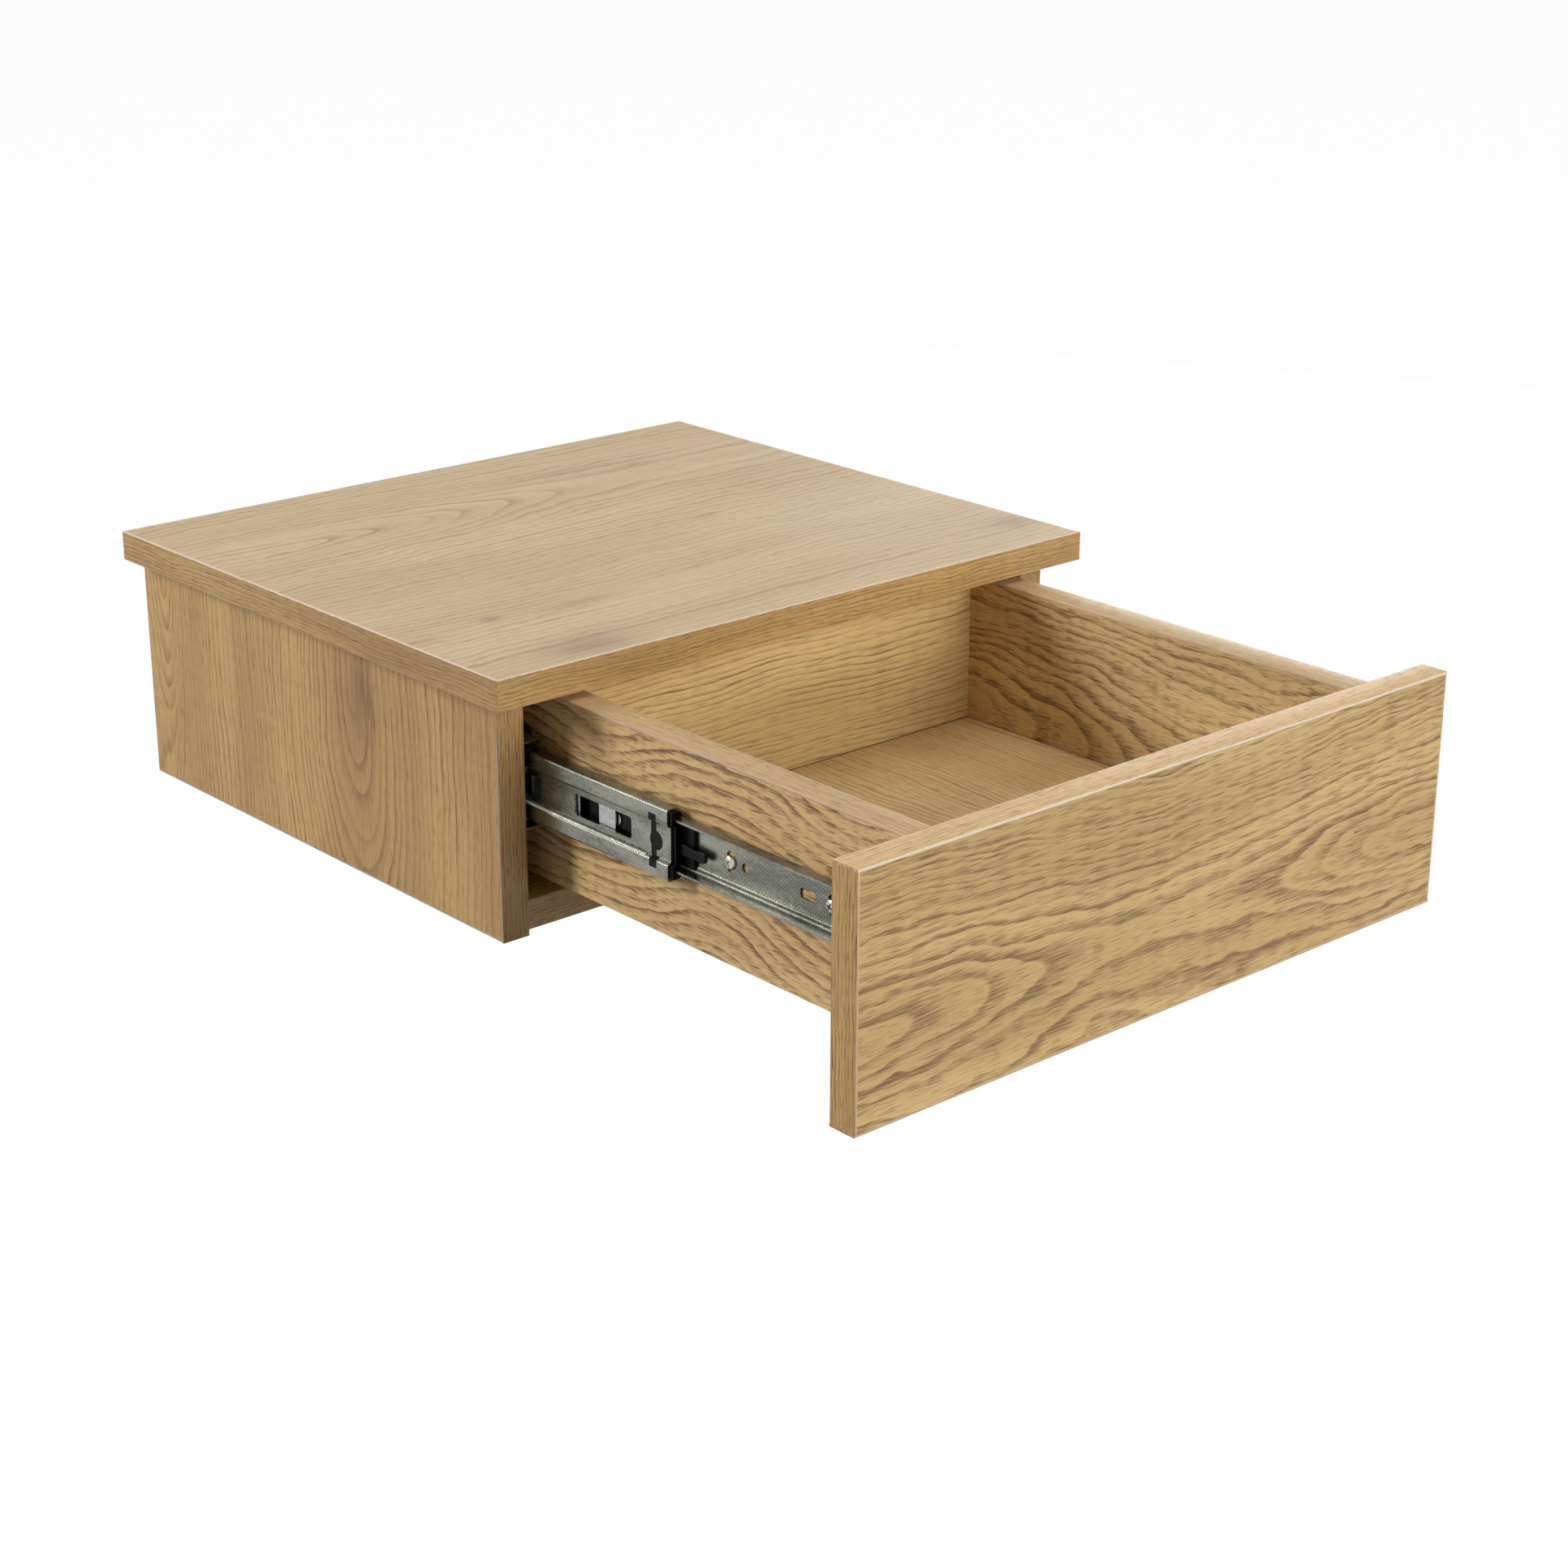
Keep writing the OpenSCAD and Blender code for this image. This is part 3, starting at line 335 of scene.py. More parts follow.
# heart is the line that the rings run round, in mm across the board, and depth its depth
# below the face; hills (centre, reach, height) deepen it and bumps push it sideways;
# smudges have a power for a height, and arris is (axis, place, width, colour) of lines along
# edges: pale worn lines, and dark lines of painted shade in a joint
oakBasics = {
    "heart": 0, "depth": 8, "hills": (), "bumps": (), "pitch": 4.2, "first": 0,
    "wander": 16, "wobble": 5, "swirl": 1.0, "sharp": 0.8, "dash": 0.24, "seed": 0,
    "pores": (1, 1, 1), "edge": 0.07,     # below 1 they are longer, wider; a small edge is crisp
    "light": (216, 184, 126), "deep": (196, 160, 104), "band": (158, 120, 72),
    "line": (140, 103, 60), "pore": (112, 80, 46), "smudge": (158, 126, 96),
    "bandPower": 0.55, "linePower": 0.35, "porePower": 0.72, "fibrePower": 0.22,
    "smudges": (), "arris": (), "rough": 0.44, "poreRough": 0.16, "fibreRough": 0.08,
    "fibreHeight": 0.5, "wrap": 0.9,      # how far the print runs on over a cut edge
}
printDepth = 0.04      # mm, of the pressed pores


def oakSurface(w, place, heart, look):
    # wires the decor for a place in mm: X along the grain, Y across it
    given = {key.capitalize(): look[key] for key in (
        "pitch", "first", "wander", "wobble", "swirl", "sharp", "dash", "pores", "edge")}
    figure = w.node("ShaderNodeGroup", {
        **given, "Place": place, "Heart": sumHills(w, place, look["bumps"], heart),
        "Depth": sumHills(w, place, look["hills"], look["depth"])}, node_tree=oakPrint).outputs
    tone = w.smooth(figure["Tone"], 0.3, 0.7)
    colour = w.blend(tone, paint(*look["light"]), paint(*look["deep"]))
    fibre = w.times(w.smooth(figure["Fibre"], 0.42, 0.75), look["fibrePower"])
    colour = w.blend(fibre, colour, paint(*look["band"]))
    for smudge in look["smudges"]:
        spot = w.times(hill(w, place, *smudge), w.smooth(figure["Fibre"], 0.2, 0.6, 0.5, 1.2))
        colour = w.blend(spot, colour, paint(*look["smudge"]))
    for part in ("band", "line", "pore"):
        share = w.times(figure[part.capitalize()], look[part + "Power"])
        colour = w.blend(share, colour, paint(*look[part]))
    rough = w.math("MULTIPLY_ADD", figure["Pore"], look["poreRough"], look["rough"])
    rough = w.math("MULTIPLY_ADD", figure["Fibre"], look["fibreRough"], rough)
    height = w.plus(figure["Pore"], w.times(figure["Fibre"], look["fibreHeight"]))
    height = w.times(height, -1.0)
    return colour, rough, height


wearAndShadeLine = {"ragged": (0.4, 0.4, 0), "soft": 0.25, "power": 0.8}


def boardMaterial(name, look):
    look = {**oakBasics, **look}
    material, w = newMaterial(name)
    parts = w.split(w.placeInMm())
    along, across = parts[look["along"]], parts[look["across"]]
    third = parts[({"X", "Y", "Z"} - {look["along"], look["across"]}).pop()]
    across = w.plus(across, w.times(w.plus(third, -look["face"]), look["wrap"]))
    spot = w.node("ShaderNodeCombineXYZ", {0: along, 1: across, 2: 0.0}).outputs[0]
    shifted = w.vector("ADD", spot, (look["seed"], 0, 0))
    moved = {key: [((c[0] + look["seed"], c[1]), r, h) for c, r, h in look[key]]
             for key in ("hills", "bumps", "smudges")}
    heart = w.plus(across, -look["heart"])
    colour, rough, height = oakSurface(w, shifted, heart, {**look, **moved})
    for axis, edge, wide, shade in look["arris"]:
        # pale worn line, or a dark line of painted shade in the joint, along an edge of the board
        gap = w.math("ABSOLUTE", w.plus(parts[axis], -edge))
        ragged = w.noise(spot, wearAndShadeLine["ragged"], detail=1.0)
        far = w.math("MULTIPLY_ADD", ragged, wide, wearAndShadeLine["soft"])
        mask = w.smooth(gap, w.times(ragged, wide), far, wearAndShadeLine["power"], 0.0)
        colour = w.blend(mask, colour, paint(*shade))
    shader(w, colour, rough, height, depth=printDepth)
    return material


boards = {
    # a flame from the left, one from the right, meeting in a saddle
    "drawer_front": {
        "along": "X", "across": "Z", "face": -553.5, "heart": -24, "depth": 0, "first": 11,
        "hills": (((-20, -24), (130, 400), 26), ((82, -24), (50, 400), 6)),
        "bumps": (((20, 62), (115, 48), 26), ((0, 72), (600, 48), 20), ((30, -82), (62, 24), 26),
                  ((-125, -74), (75, 18), 15)),
        "pitch": 5.8, "wander": 14, "wobble": 8, "bandPower": 0.5, "linePower": 0.25,
        "pore": (98, 68, 38), "porePower": 0.78, "dash": 0.25, "pores": (0.6, 1.1, 1),
        "edge": 0.035},
    "top_panel": {
        "along": "X", "across": "Y", "face": 65, "heart": -82, "depth": 2,
        "hills": (((40, -82), (125, 400), 29), ((230, -82), (130, 400), 28)),
        "bumps": (((12, -250), (45, 6), 6),), "pitch": 5.0, "wander": 14, "wobble": 7,
        "light": (211, 184, 144), "deep": (200, 171, 130), "band": (180, 150, 111),
        "line": (140, 112, 80), "pore": (148, 120, 88), "bandPower": 0.42, "linePower": 0.55,
        "porePower": 0.36, "fibrePower": 0.24, "dash": 0.18, "smudge": (150, 122, 96),
        "smudges": (((-122, -306), (24, 14), 0.75), ((172, -285), (18, 13), 0.65),
                    ((-85, -252), (24, 5), 0.5), ((-133, -246), (6, 4), 0.7),
                    ((-180, -254), (16, 4), 0.5), ((100, -64), (16, 5), 0.45),
                    ((60, -52), (40, 6), 0.3), ((60, -172), (8, 2.5), 0.4))},
    "left_side_panel": {
        "along": "Z", "across": "Y", "face": -174, "heart": -200, "depth": -4,
        "hills": (((-110, -200), (100, 400), 30),),
        "bumps": (((70, -22), (120, 17), 52), ((90, -200), (110, 300), -5),
                  ((-20, -165), (90, 35), -12)),
        "pitch": 4.4, "wander": 10, "wobble": 3, "swirl": 1.3,
        "light": (214, 174, 108), "deep": (190, 150, 90), "band": (152, 114, 64),
        "line": (106, 75, 38), "pore": (116, 84, 44), "bandPower": 0.34, "linePower": 0.68,
        "porePower": 0.5, "fibrePower": 0.3, "dash": 0.18, "smudge": (126, 93, 55),
        "smudges": (((27, -196), (36, 19), 0.6), ((29, -198), (7, 1.5), 0.8),
                    ((21, -203), (6, 1.6), 0.8), ((13, -207), (5, 1.4), 0.7))},
    "right_side_panel": {
        "along": "Z", "across": "Y", "face": 174, "heart": -120, "depth": 0, "seed": 310,
        "hills": (((-90, -120), (90, 400), 34),), "pitch": 4.8, "wander": 14,
        "light": (206, 166, 100), "deep": (184, 144, 84), "band": (152, 114, 62),
        "line": (112, 80, 40), "pore": (130, 95, 50), "bandPower": 0.3, "linePower": 0.7,
        "porePower": 0.2, "dash": 0.14},
    "bottom_panel": {"along": "X", "across": "Y", "face": -66, "heart": -140, "seed": 520,
                     "hills": (((0, -140), (120, 400), 18),)},
    "back_board": {"along": "X", "across": "Z", "face": -15, "heart": -160, "seed": 700},
    "drawer_left_side": {
        "along": "Y", "across": "Z", "face": -146, "heart": 80, "depth": 3, "seed": 90,
        "bumps": (((-510, 10), (52, 80), 13), ((-425, -35), (46, 50), -13),
                  ((-350, 25), (48, 70), 12)),
        "pitch": 6.2, "wander": 18, "wobble": 6, "dash": 0.31, "porePower": 0.84,
        "light": (244, 210, 148), "deep": (228, 190, 128), "band": (180, 138, 84),
        "bandPower": 0.4, "line": (150, 108, 60), "pore": (98, 68, 36)},
    "drawer_right_side": {
        "along": "Y", "across": "Z", "face": 131, "heart": -22, "depth": 2, "seed": 240,
        "hills": (((-520, -22), (210, 400), 40),), "pitch": 4.8, "wander": 22, "wobble": 8,
        "bandPower": 0.3, "linePower": 0.4, "pore": (98, 68, 36), "porePower": 0.76, "dash": 0.27,
        "line": (116, 82, 44), "light": (234, 206, 152), "deep": (216, 186, 133)},
    "drawer_back": {
        "along": "X", "across": "Z", "face": -297.5, "heart": -90, "depth": 10, "seed": 410,
        "pitch": 3.2, "wander": 15, "wobble": 2.2, "bandPower": 0.22, "linePower": 1.0,
        "porePower": 0.5, "dash": 0.14, "line": (100, 68, 32), "pore": (102, 72, 38),
        "pores": (0.6, 1.1, 1), "edge": 0.045,
        "light": (220, 191, 133), "deep": (200, 168, 111)},
    "drawer_floor": {
        "along": "Y", "across": "X", "face": -29.4, "heart": -300, "depth": 10, "seed": 830,
        "pitch": 3.8, "wander": 16, "wobble": 4, "bandPower": 0.3, "linePower": 0.7,
        "line": (128, 95, 58), "pore": (128, 96, 60), "porePower": 0.45, "dash": 0.14,
        "light": (244, 214, 157), "deep": (225, 189, 131), "band": (194, 156, 107),
        # painted shade: dark lines in the inside corners where the floor meets the sides and the
        # back
        "arris": (("X", 131, 0.9, (96, 68, 40)), ("X", -131, 0.9, (96, 68, 40)),
                  ("Y", -297.5, 0.9, (96, 68, 40)))},
}


def dressNode(node, material):
    # gives a CAD node's own mesh a finish in each of its slots
    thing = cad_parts[node]
    if not thing.data.materials:
        thing.data.materials.append(material)
    for i in range(len(thing.data.materials)):
        thing.data.materials[i] = material
    for slot in thing.material_slots:
        slot.material = material


for node, look in boards.items():
    dressNode(node, boardMaterial("oak_" + node, look))
print("boards dressed:", len(boards))


# mesh helpers, all sizes in mm

def meshObject(name, bm):
    # turns a bmesh drawn in mm into an object in metres, faces outwards
    bmesh.ops.recalc_face_normals(bm, faces=bm.faces)
    bmesh.ops.scale(bm, verts=bm.verts, vec=(mm, mm, mm))
    mesh = bpy.data.meshes.new(name)
    bm.to_mesh(mesh)
    bm.free()
    mesh.shade_smooth()
    return newObject(name, mesh)


def settle(thing):
    # applies the live modifiers, so that only a plain mesh is left
    graph = bpy.context.evaluated_depsgraph_get()
    mesh = bpy.data.meshes.new_from_object(thing.evaluated_get(graph), depsgraph=graph)
    old = thing.data
    thing.modifiers.clear()
    thing.data = mesh
    bpy.data.meshes.remove(old)
    return thing


cornerFrom = {"sheet": 80, "band": 50, "screw": 40}      # degrees


def keepSharp(thing, angle):
    # smooth shading that stops at real corners
    mesh = thing.data
    mesh.shade_smooth()
    mesh.set_sharp_from_angle(angle=math.radians(angle))


def easeEdges(thing, width, angle):
    # rounds the corners sharper than the angle, width in mm
    keepSharp(thing, cornerFrom["sheet"])
    bevel = thing.modifiers.new("softEdges", "BEVEL")
    bevel.width = width * mm
    bevel.segments = 2
    bevel.limit_method = "ANGLE"
    bevel.angle_limit = math.radians(angle)
    bevel.miter_outer = "MITER_ARC"
    even = thing.modifiers.new("evenShading", "WEIGHTED_NORMAL")
    even.keep_sharp = True
    even.weight = 80
    return settle(thing)


def cutAway(thing, cutters):
    for i, cutter in enumerate(cutters):
        cut = thing.modifiers.new("cut%d" % i, "BOOLEAN")
        cut.operation = "DIFFERENCE"
        cut.solver = "EXACT"
        cut.object = cutter
    settle(thing)
    for cutter in cutters:
        bpy.data.objects.remove(cutter)


easing = {"weld": 0.004, "flat": 2, "corner": 40}     # mm, and degrees


def softCopy(node, width, s):
    # a CAD node's own shape, merged, with its corners eased
    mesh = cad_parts[node].data.copy()
    bm = bmesh.new()
    bm.from_mesh(mesh)
    bmesh.ops.remove_doubles(bm, verts=bm.verts, dist=s["weld"] * mm)
    bmesh.ops.dissolve_limit(bm, angle_limit=math.radians(s["flat"]), verts=bm.verts,
                             edges=bm.edges)
    bm.to_mesh(mesh)
    bm.free()
    return easeEdges(newObject(node + "_eased", mesh), width, s["corner"])


def fit(thing, material, body, slotName, *nodes):
    # finish, body and CAD nodes of one piece
    thing.data.materials.clear()
    thing.data.materials.append(material)
    for face in thing.data.polygons:
        face.material_index = 0
    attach(thing, body)
    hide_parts(*nodes)


# edge bands: a printed strip glued on, with its pale core showing at the arrises

bandSizes = {"thick": 1.3, "round": 0.6, "steps": 4, "wide": 15,
             "glued": -1.2, "jump": 10}      # print: on the glued side, and from face to face

bands = {
    # piece: CAD node, body, strips (board, face it is glued to, direction, how many strip
    # thicknesses it reaches past both ends)
    "top_edge_bands": ("top_edge_bands", "case", (
        ("top_panel", "-Y", "X", (1, 1)), ("top_panel", "-X", "Y", (0, 0)),
        ("top_panel", "+X", "Y", (0, 0)))),
    "side_edge_bands": ("side_edge_bands", "case", (
        ("left_side_panel", "-Y", "Z", (1, 0)), ("left_side_panel", "-Z", "Y", (0, 0)),
        ("right_side_panel", "-Y", "Z", (1, 0)), ("right_side_panel", "-Z", "Y", (0, 0)))),
    "bottom_edge_band": ("bottom_edge_band", "case", (
        ("bottom_panel", "-Y", "X", (0, 0)),)),
    # the drawer front's top strip is a piece of its own, painted paler than its other strips:
    # painted light from above
    "drawer_front_top_band": ("drawer_front_bands", "drawer", (
        ("drawer_front", "+Z", "X", (1, 1)),)),
    "drawer_front_bands": ("drawer_front_bands", "drawer", (
        ("drawer_front", "-Z", "X", (1, 1)), ("drawer_front", "-X", "Z", (0, 0)),
        ("drawer_front", "+X", "Z", (0, 0)))),
    "drawer_box_bands": ("drawer_box_bands", "drawer", (
        ("drawer_left_side", "+Z", "Y", (0, 0)), ("drawer_right_side", "+Z", "Y", (0, 0)),
        ("drawer_back", "+Z", "X", (0, 0)))),
}


def bandProfile(s):
    # points (outwards, across, print position) round one half of the strip and back
    thick, r, wide = s["thick"], s["round"], s["wide"]
    arc = r * math.pi / 2
    low = [(0, 0, r - arc - (thick - r))]
    for i in range(s["steps"] + 1):
        share = i / s["steps"]
        a = math.pi / 2 * share
        low.append((thick - r + r * math.sin(a), r - r * math.cos(a), r - arc * (1 - share)))
    high = [(x, wide - y, wide - v) for x, y, v in reversed(low)]
    return low + high


def addStrip(bm, uv, board, face, run, reach, s):
    lo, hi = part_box(board)
    lo, hi = Vector(lo) / mm, Vector(hi) / mm
    axes = "XYZ"
    sign, out, along = (1 if face[0] == "+" else -1), axes.index(face[1]), axes.index(run)
    wide = 3 - out - along
    start, end = lo[along] - reach[0] * s["thick"], hi[along] + reach[1] * s["thick"]
    base = hi[out] if sign > 0 else lo[out]
    profile = bandProfile(s)
    wideMiddle = s["wide"] / 2
    rings = []
    for place in (start, end):
        ring = []
        for x, y, _ in profile:
            spot = [0, 0, 0]
            spot[along], spot[out], spot[wide] = place, base + sign * x, lo[wide] + y
            ring.append(bm.verts.new(spot))
        rings.append(ring)
    count = len(profile)
    for i in range(count):
        j = (i + 1) % count
        made = bm.faces.new((rings[0][i], rings[0][j], rings[1][j], rings[1][i]))
        v = (profile[i][2], profile[j][2]) if j else (s["glued"], s["glued"])
        for loop, u, across in zip(made.loops, (start, start, end, end), (v[0], v[1], v[1], v[0])):
            loop[uv].uv = ((u + len(bm.faces) * s["jump"]) * mm, across * mm)
    for ring in rings:
        made = bm.faces.new(ring)
        for loop, (x, y, _) in zip(made.loops, profile):
            loop[uv].uv = (x * mm, (wideMiddle + (y - wideMiddle) / 2) * mm)


# the pale core that shows past a strip's print: its ragged start, in mm, and its dusty tint
bandCore = {"ragged": (0.35, 0.9, 0), "swing": 0.9, "soft": 0.22, "dust": (0.9, 2.0, 0),
            "shade": 0.93}


def bandMaterial(name, look):
    look = {**oakBasics, "pitch": 2.1, "wander": 9, "wobble": 3, "heart": -60, "dash": 0.17,
            "bandPower": 0.4, "linePower": 0.75, "porePower": 0.62, "fibrePower": 0.5,
            "core": (226, 208, 190), "coreShare": 0.85, "coreEdge": -0.75, **look}
    material, w = newMaterial(name)
    uv = w.node("ShaderNodeUVMap", uv_map="print").outputs[0]
    spot = w.vector("MULTIPLY", uv, (1000, 1000, 0))
    across = w.split(spot)["Y"]
    shifted = w.vector("ADD", spot, (look["seed"], 0, 0))
    colour, rough, height = oakSurface(w, shifted, w.plus(across, -look["heart"]), look)
    half = bandSizes["wide"] / 2
    past = w.plus(w.math("ABSOLUTE", w.plus(across, -half)), -half)
    ragged = w.noise(shifted, bandCore["ragged"], detail=2.0)
    start = w.math("MULTIPLY_ADD", ragged, bandCore["swing"], look["coreEdge"])
    core = w.smooth(w.math("SUBTRACT", past, start), 0.0, bandCore["soft"], 0.0,
                    look["coreShare"])
    dust = w.noise(shifted, bandCore["dust"], detail=2.0)
    tint = w.blend(dust, paint(*look["core"]), paint(*(c * bandCore["shade"]
                                                       for c in look["core"])))
    colour = w.blend(core, colour, tint)
    shader(w, colour, rough, height, depth=printDepth)
    return material


bandLooks = {
    "top_edge_bands": {"light": (201, 163, 102), "deep": (182, 144, 86), "band": (142, 106, 58),
                       "line": (98, 70, 32), "pore": (94, 66, 30), "linePower": 1.0,
                       "porePower": 0.55, "dash": 0.12, "pitch": 1.9, "core": (234, 214, 194),
                       "coreShare": 0.92, "coreEdge": -0.85, "seed": 20},
    "side_edge_bands": {"light": (192, 156, 100), "deep": (172, 136, 84), "band": (134, 102, 60),
                        "line": (98, 70, 38), "pore": (92, 66, 36), "coreShare": 0.35,
                        "seed": 900},
    "bottom_edge_band": {"light": (192, 158, 102), "deep": (174, 140, 86), "band": (146, 112, 64),
                         "line": (100, 72, 38), "pore": (96, 70, 38), "coreShare": 0.3,
                         "seed": 1300},
    # painted light: the top strip's print and pale core are the front strips' print painted
    # lighter, as if lit from above
    "drawer_front_top_band": {"light": (234, 202, 148), "deep": (220, 184, 130),
                              "band": (194, 154, 100), "line": (142, 106, 62),
                              "pore": (134, 100, 60), "core": (242, 226, 208), "coreShare": 0.9,
                              "coreEdge": -0.6, "seed": 1700},
    "drawer_front_bands": {"light": (218, 175, 108), "deep": (200, 155, 90),
                           "band": (164, 122, 66), "line": (106, 76, 40), "pore": (98, 70, 36),
                           "core": (214, 194, 172), "coreShare": 0.5, "coreEdge": -0.6,
                           "seed": 1950},
    "drawer_box_bands": {"light": (214, 182, 134), "deep": (198, 164, 116), "band": (178, 142, 94),
                         "line": (144, 108, 64), "pore": (136, 102, 60), "coreShare": 0.3,
                         "bandPower": 0.35, "seed": 2100},
}

for piece, (node, body, strips) in bands.items():
    bm = bmesh.new()
    uv = bm.loops.layers.uv.new("print")
    for board, face, run, reach in strips:
        addStrip(bm, uv, board, face, run, reach, bandSizes)
    strip = meshObject(piece + "_glued", bm)
    keepSharp(strip, cornerFrom["band"])
    fit(strip, bandMaterial("print_" + piece, bandLooks[piece]), body, "oak_band", node)
print("edge bands glued on")


# slide metal and plastic

def dotGrid(w, parts, pitch):
    # the fine pressed dots of the strip steel, on the slide's flat faces
    along = w.math("SINE", w.times(parts["Y"], 2 * math.pi / pitch))
    across = w.math("SINE", w.times(parts["Z"], 2 * math.pi / pitch))
    return w.times(along, across)


def steelMaterial(name, look):
    look = {"rough": 0.34, "dots": 0.0, "pitch": 0.85, "scratch": 0.1, **look}
    material, w = newMaterial(name)
    place = w.placeInMm()
    cloud = w.noise(place, (0.05, 0.02, 0.09), detail=3.0, dims="3D")
    spangle = w.noise(place, (0.7, 0.35, 0.7), detail=2.0, dims="3D")
    scratch = w.noise(place, (3.0, 0.12, 3.0), detail=2.0, dims="3D")
    dots = dotGrid(w, w.split(place), look["pitch"])
    mixed = w.plus(w.times(cloud, 0.55), w.times(spangle, 0.25))
    mixed = w.plus(mixed, w.times(scratch, 0.2))
    shade = w.smooth(mixed, 0.36, 0.64)
    shade = w.math("MULTIPLY_ADD", dots, look["dots"], shade, clamp=True)
    colour = w.blend(shade, paint(*look["dark"]), paint(*look["light"]))
    rough = w.math("MULTIPLY_ADD", scratch, 0.18, look["rough"] - 0.09)
    height = w.plus(w.times(dots, look["dots"] * 0.6), w.times(scratch, look["scratch"]))
    shader(w, colour, rough, height, metal=1.0)
    return material


def plasticMaterial(name, light, dark, rough=0.42, shine=0.5):
    material, w = newMaterial(name)
    place = w.placeInMm()
    fine = w.noise(place, (1.2,) * 3, detail=3.0, dims="3D")
    wide = w.noise(place, (0.09,) * 3, detail=2.0, dims="3D")
    share = w.smooth(w.plus(w.times(fine, 0.4), w.times(wide, 0.6)), 0.35, 0.65)
    colour = w.blend(share, paint(*dark), paint(*light))
    shader(w, colour, w.math("MULTIPLY_ADD", fine, 0.2, rough - 0.1), fine, depth=0.03,
           **{"Specular IOR Level": shine})
    return material


def woodMaterial(name, light, dark):
    # turned beech and the like, grain along X
    material, w = newMaterial(name)
    place = w.placeInMm()
    fibre = w.noise(place, (0.08, 1.1, 1.1), detail=3.0, dims="3D")
    fleck = w.smooth(w.noise(place, (0.3, 2.2, 2.2), detail=1.0, dims="3D"), 0.6, 0.7, 0.0, 0.5)
    colour = w.blend(w.smooth(fibre, 0.3, 0.7), paint(*light), paint(*dark))
    colour = w.blend(fleck, colour, paint(*(c * 0.72 for c in dark)))
    shader(w, colour, w.math("MULTIPLY_ADD", fibre, 0.2, 0.5), fibre)
    return material


railZinc = steelMaterial("railZinc", {"light": (150, 150, 139), "dark": (97, 98, 91),
                                      "rough": 0.28, "dots": 0.4, "pitch": 1.9})
# painted highlight: the ribs' zinc is the rails' zinc painted paler, for the bright line along the
# folds
highlightRibZinc = steelMaterial("highlightRibZinc", {"light": (190, 190, 180), "dark": (140, 140, 132),
                                    "rough": 0.26})
cageZinc = steelMaterial("cageZinc", {"light": (196, 196, 194), "dark": (158, 158, 156),
                                      "rough": 0.3})
screwZinc = steelMaterial("screwZinc", {"light": (214, 210, 202), "dark": (160, 156, 148),
                                        "rough": 0.22})
ballSteel = steelMaterial("ballSteel", {"light": (206, 206, 210), "dark": (180, 180, 184),
                                        "rough": 0.14})
castZinc = steelMaterial("castZinc", {"light": (176, 176, 178), "dark": (140, 140, 142),
                                      "rough": 0.48, "scratch": 0.3})
yellowZinc = steelMaterial("yellowZinc", {"light": (206, 188, 132), "dark": (170, 148, 96)})
blackPlastic = plasticMaterial("blackPlastic", (12, 12, 13), (6, 6, 7), rough=0.45, shine=0.1)
tanPlastic = plasticMaterial("tanPlastic", (196, 162, 116), (176, 142, 98))
creamPlastic = plasticMaterial("creamPlastic", (226, 214, 190), (206, 194, 168))
beech = woodMaterial("beech", (220, 188, 146), (196, 160, 116))

for material, nodes in (
        (castZinc, ("case_cams", "drawer_cams")), (creamPlastic, ("corner_blocks",)),
        (yellowZinc, ("case_cam_bolts", "drawer_cam_bolts", "drawer_back_screws")),
        (beech, ("case_dowels", "drawer_dowels")),
        (tanPlastic, ("case_cam_caps", "drawer_cam_caps")),
        (screwZinc, ("corner_block_screws", "floor_screws", "lever_rivets")),
        (cageZinc, ("outer_cage_left", "outer_cage_right", "inner_cage_left",
                    "inner_cage_right"))):
    for node in nodes:
        dressNode(node, material)


# the slides: the left one is drawn, the right one is the same turned over

slideSpot = {"caseFace": 159, "height": 4}      # the case sides' inner faces, the slides' middle


def toSlide(side):
    # from the slide's own frame (away from the case side, along, up) to the cabinet's
    if side == "left":
        return Matrix.Translation((-slideSpot["caseFace"], 0, slideSpot["height"]))
    return (Matrix.Translation((slideSpot["caseFace"], 0, slideSpot["height"]))
            @ Matrix.Rotation(math.pi, 4, "Y"))


def placeOnSlide(thing, side):
    thing.data.transform(Matrix.Scale(mm, 4) @ toSlide(side) @ Matrix.Scale(1 / mm, 4))


def slideBody(body, side):
    return body if body in ("case", "drawer") else "%s_%s" % (body, side)


def bentLine(corners, radius, steps=5):
    # a line of sheet metal with each corner rounded, as (point, normal) pairs
    points = [Vector(c) for c in corners]
    line = []
    for i, p in enumerate(points):
        if i in (0, len(points) - 1):
            d = (points[1] - p) if i == 0 else (p - points[i - 1])
            d.normalize()
            line.append((p, Vector((-d.y, d.x))))
            continue
        a, b = (p - points[i - 1]).normalized(), (points[i + 1] - p).normalized()
        turn = a.angle_signed(b)
        half = abs(turn) / 2
        back = radius * math.tan(half)
        side = 1 if turn < 0 else -1     # angle_signed is clockwise
        n0 = Vector((-a.y, a.x))
        centre = p - a * back + n0 * radius * side
        for k in range(steps + 1):
            spin = Matrix.Rotation(-turn * k / steps, 2)
            arm = spin @ (-n0 * side)
            line.append((centre + arm * radius, arm * -side))
    return line


def sheetOutline(corners, thick, radius):
    line = bentLine(corners, radius)
    left = [p + n * thick / 2 for p, n in line]
    right = [p - n * thick / 2 for p, n in line]
    return left + right[::-1]


def closeTube(bm, rings):
    # side faces between two equal rings of vertices, and a face on each end
    count = len(rings[0])
    for i in range(count):
        j = (i + 1) % count
        bm.faces.new((rings[0][i], rings[0][j], rings[1][j], rings[1][i]))
    for ring in rings:
        bm.faces.new(ring)


def extrudeY(outline, y0, y1):
    bm = bmesh.new()
    closeTube(bm, [[bm.verts.new((p[0], y, p[1])) for p in outline] for y in (y0, y1)])
    return bm


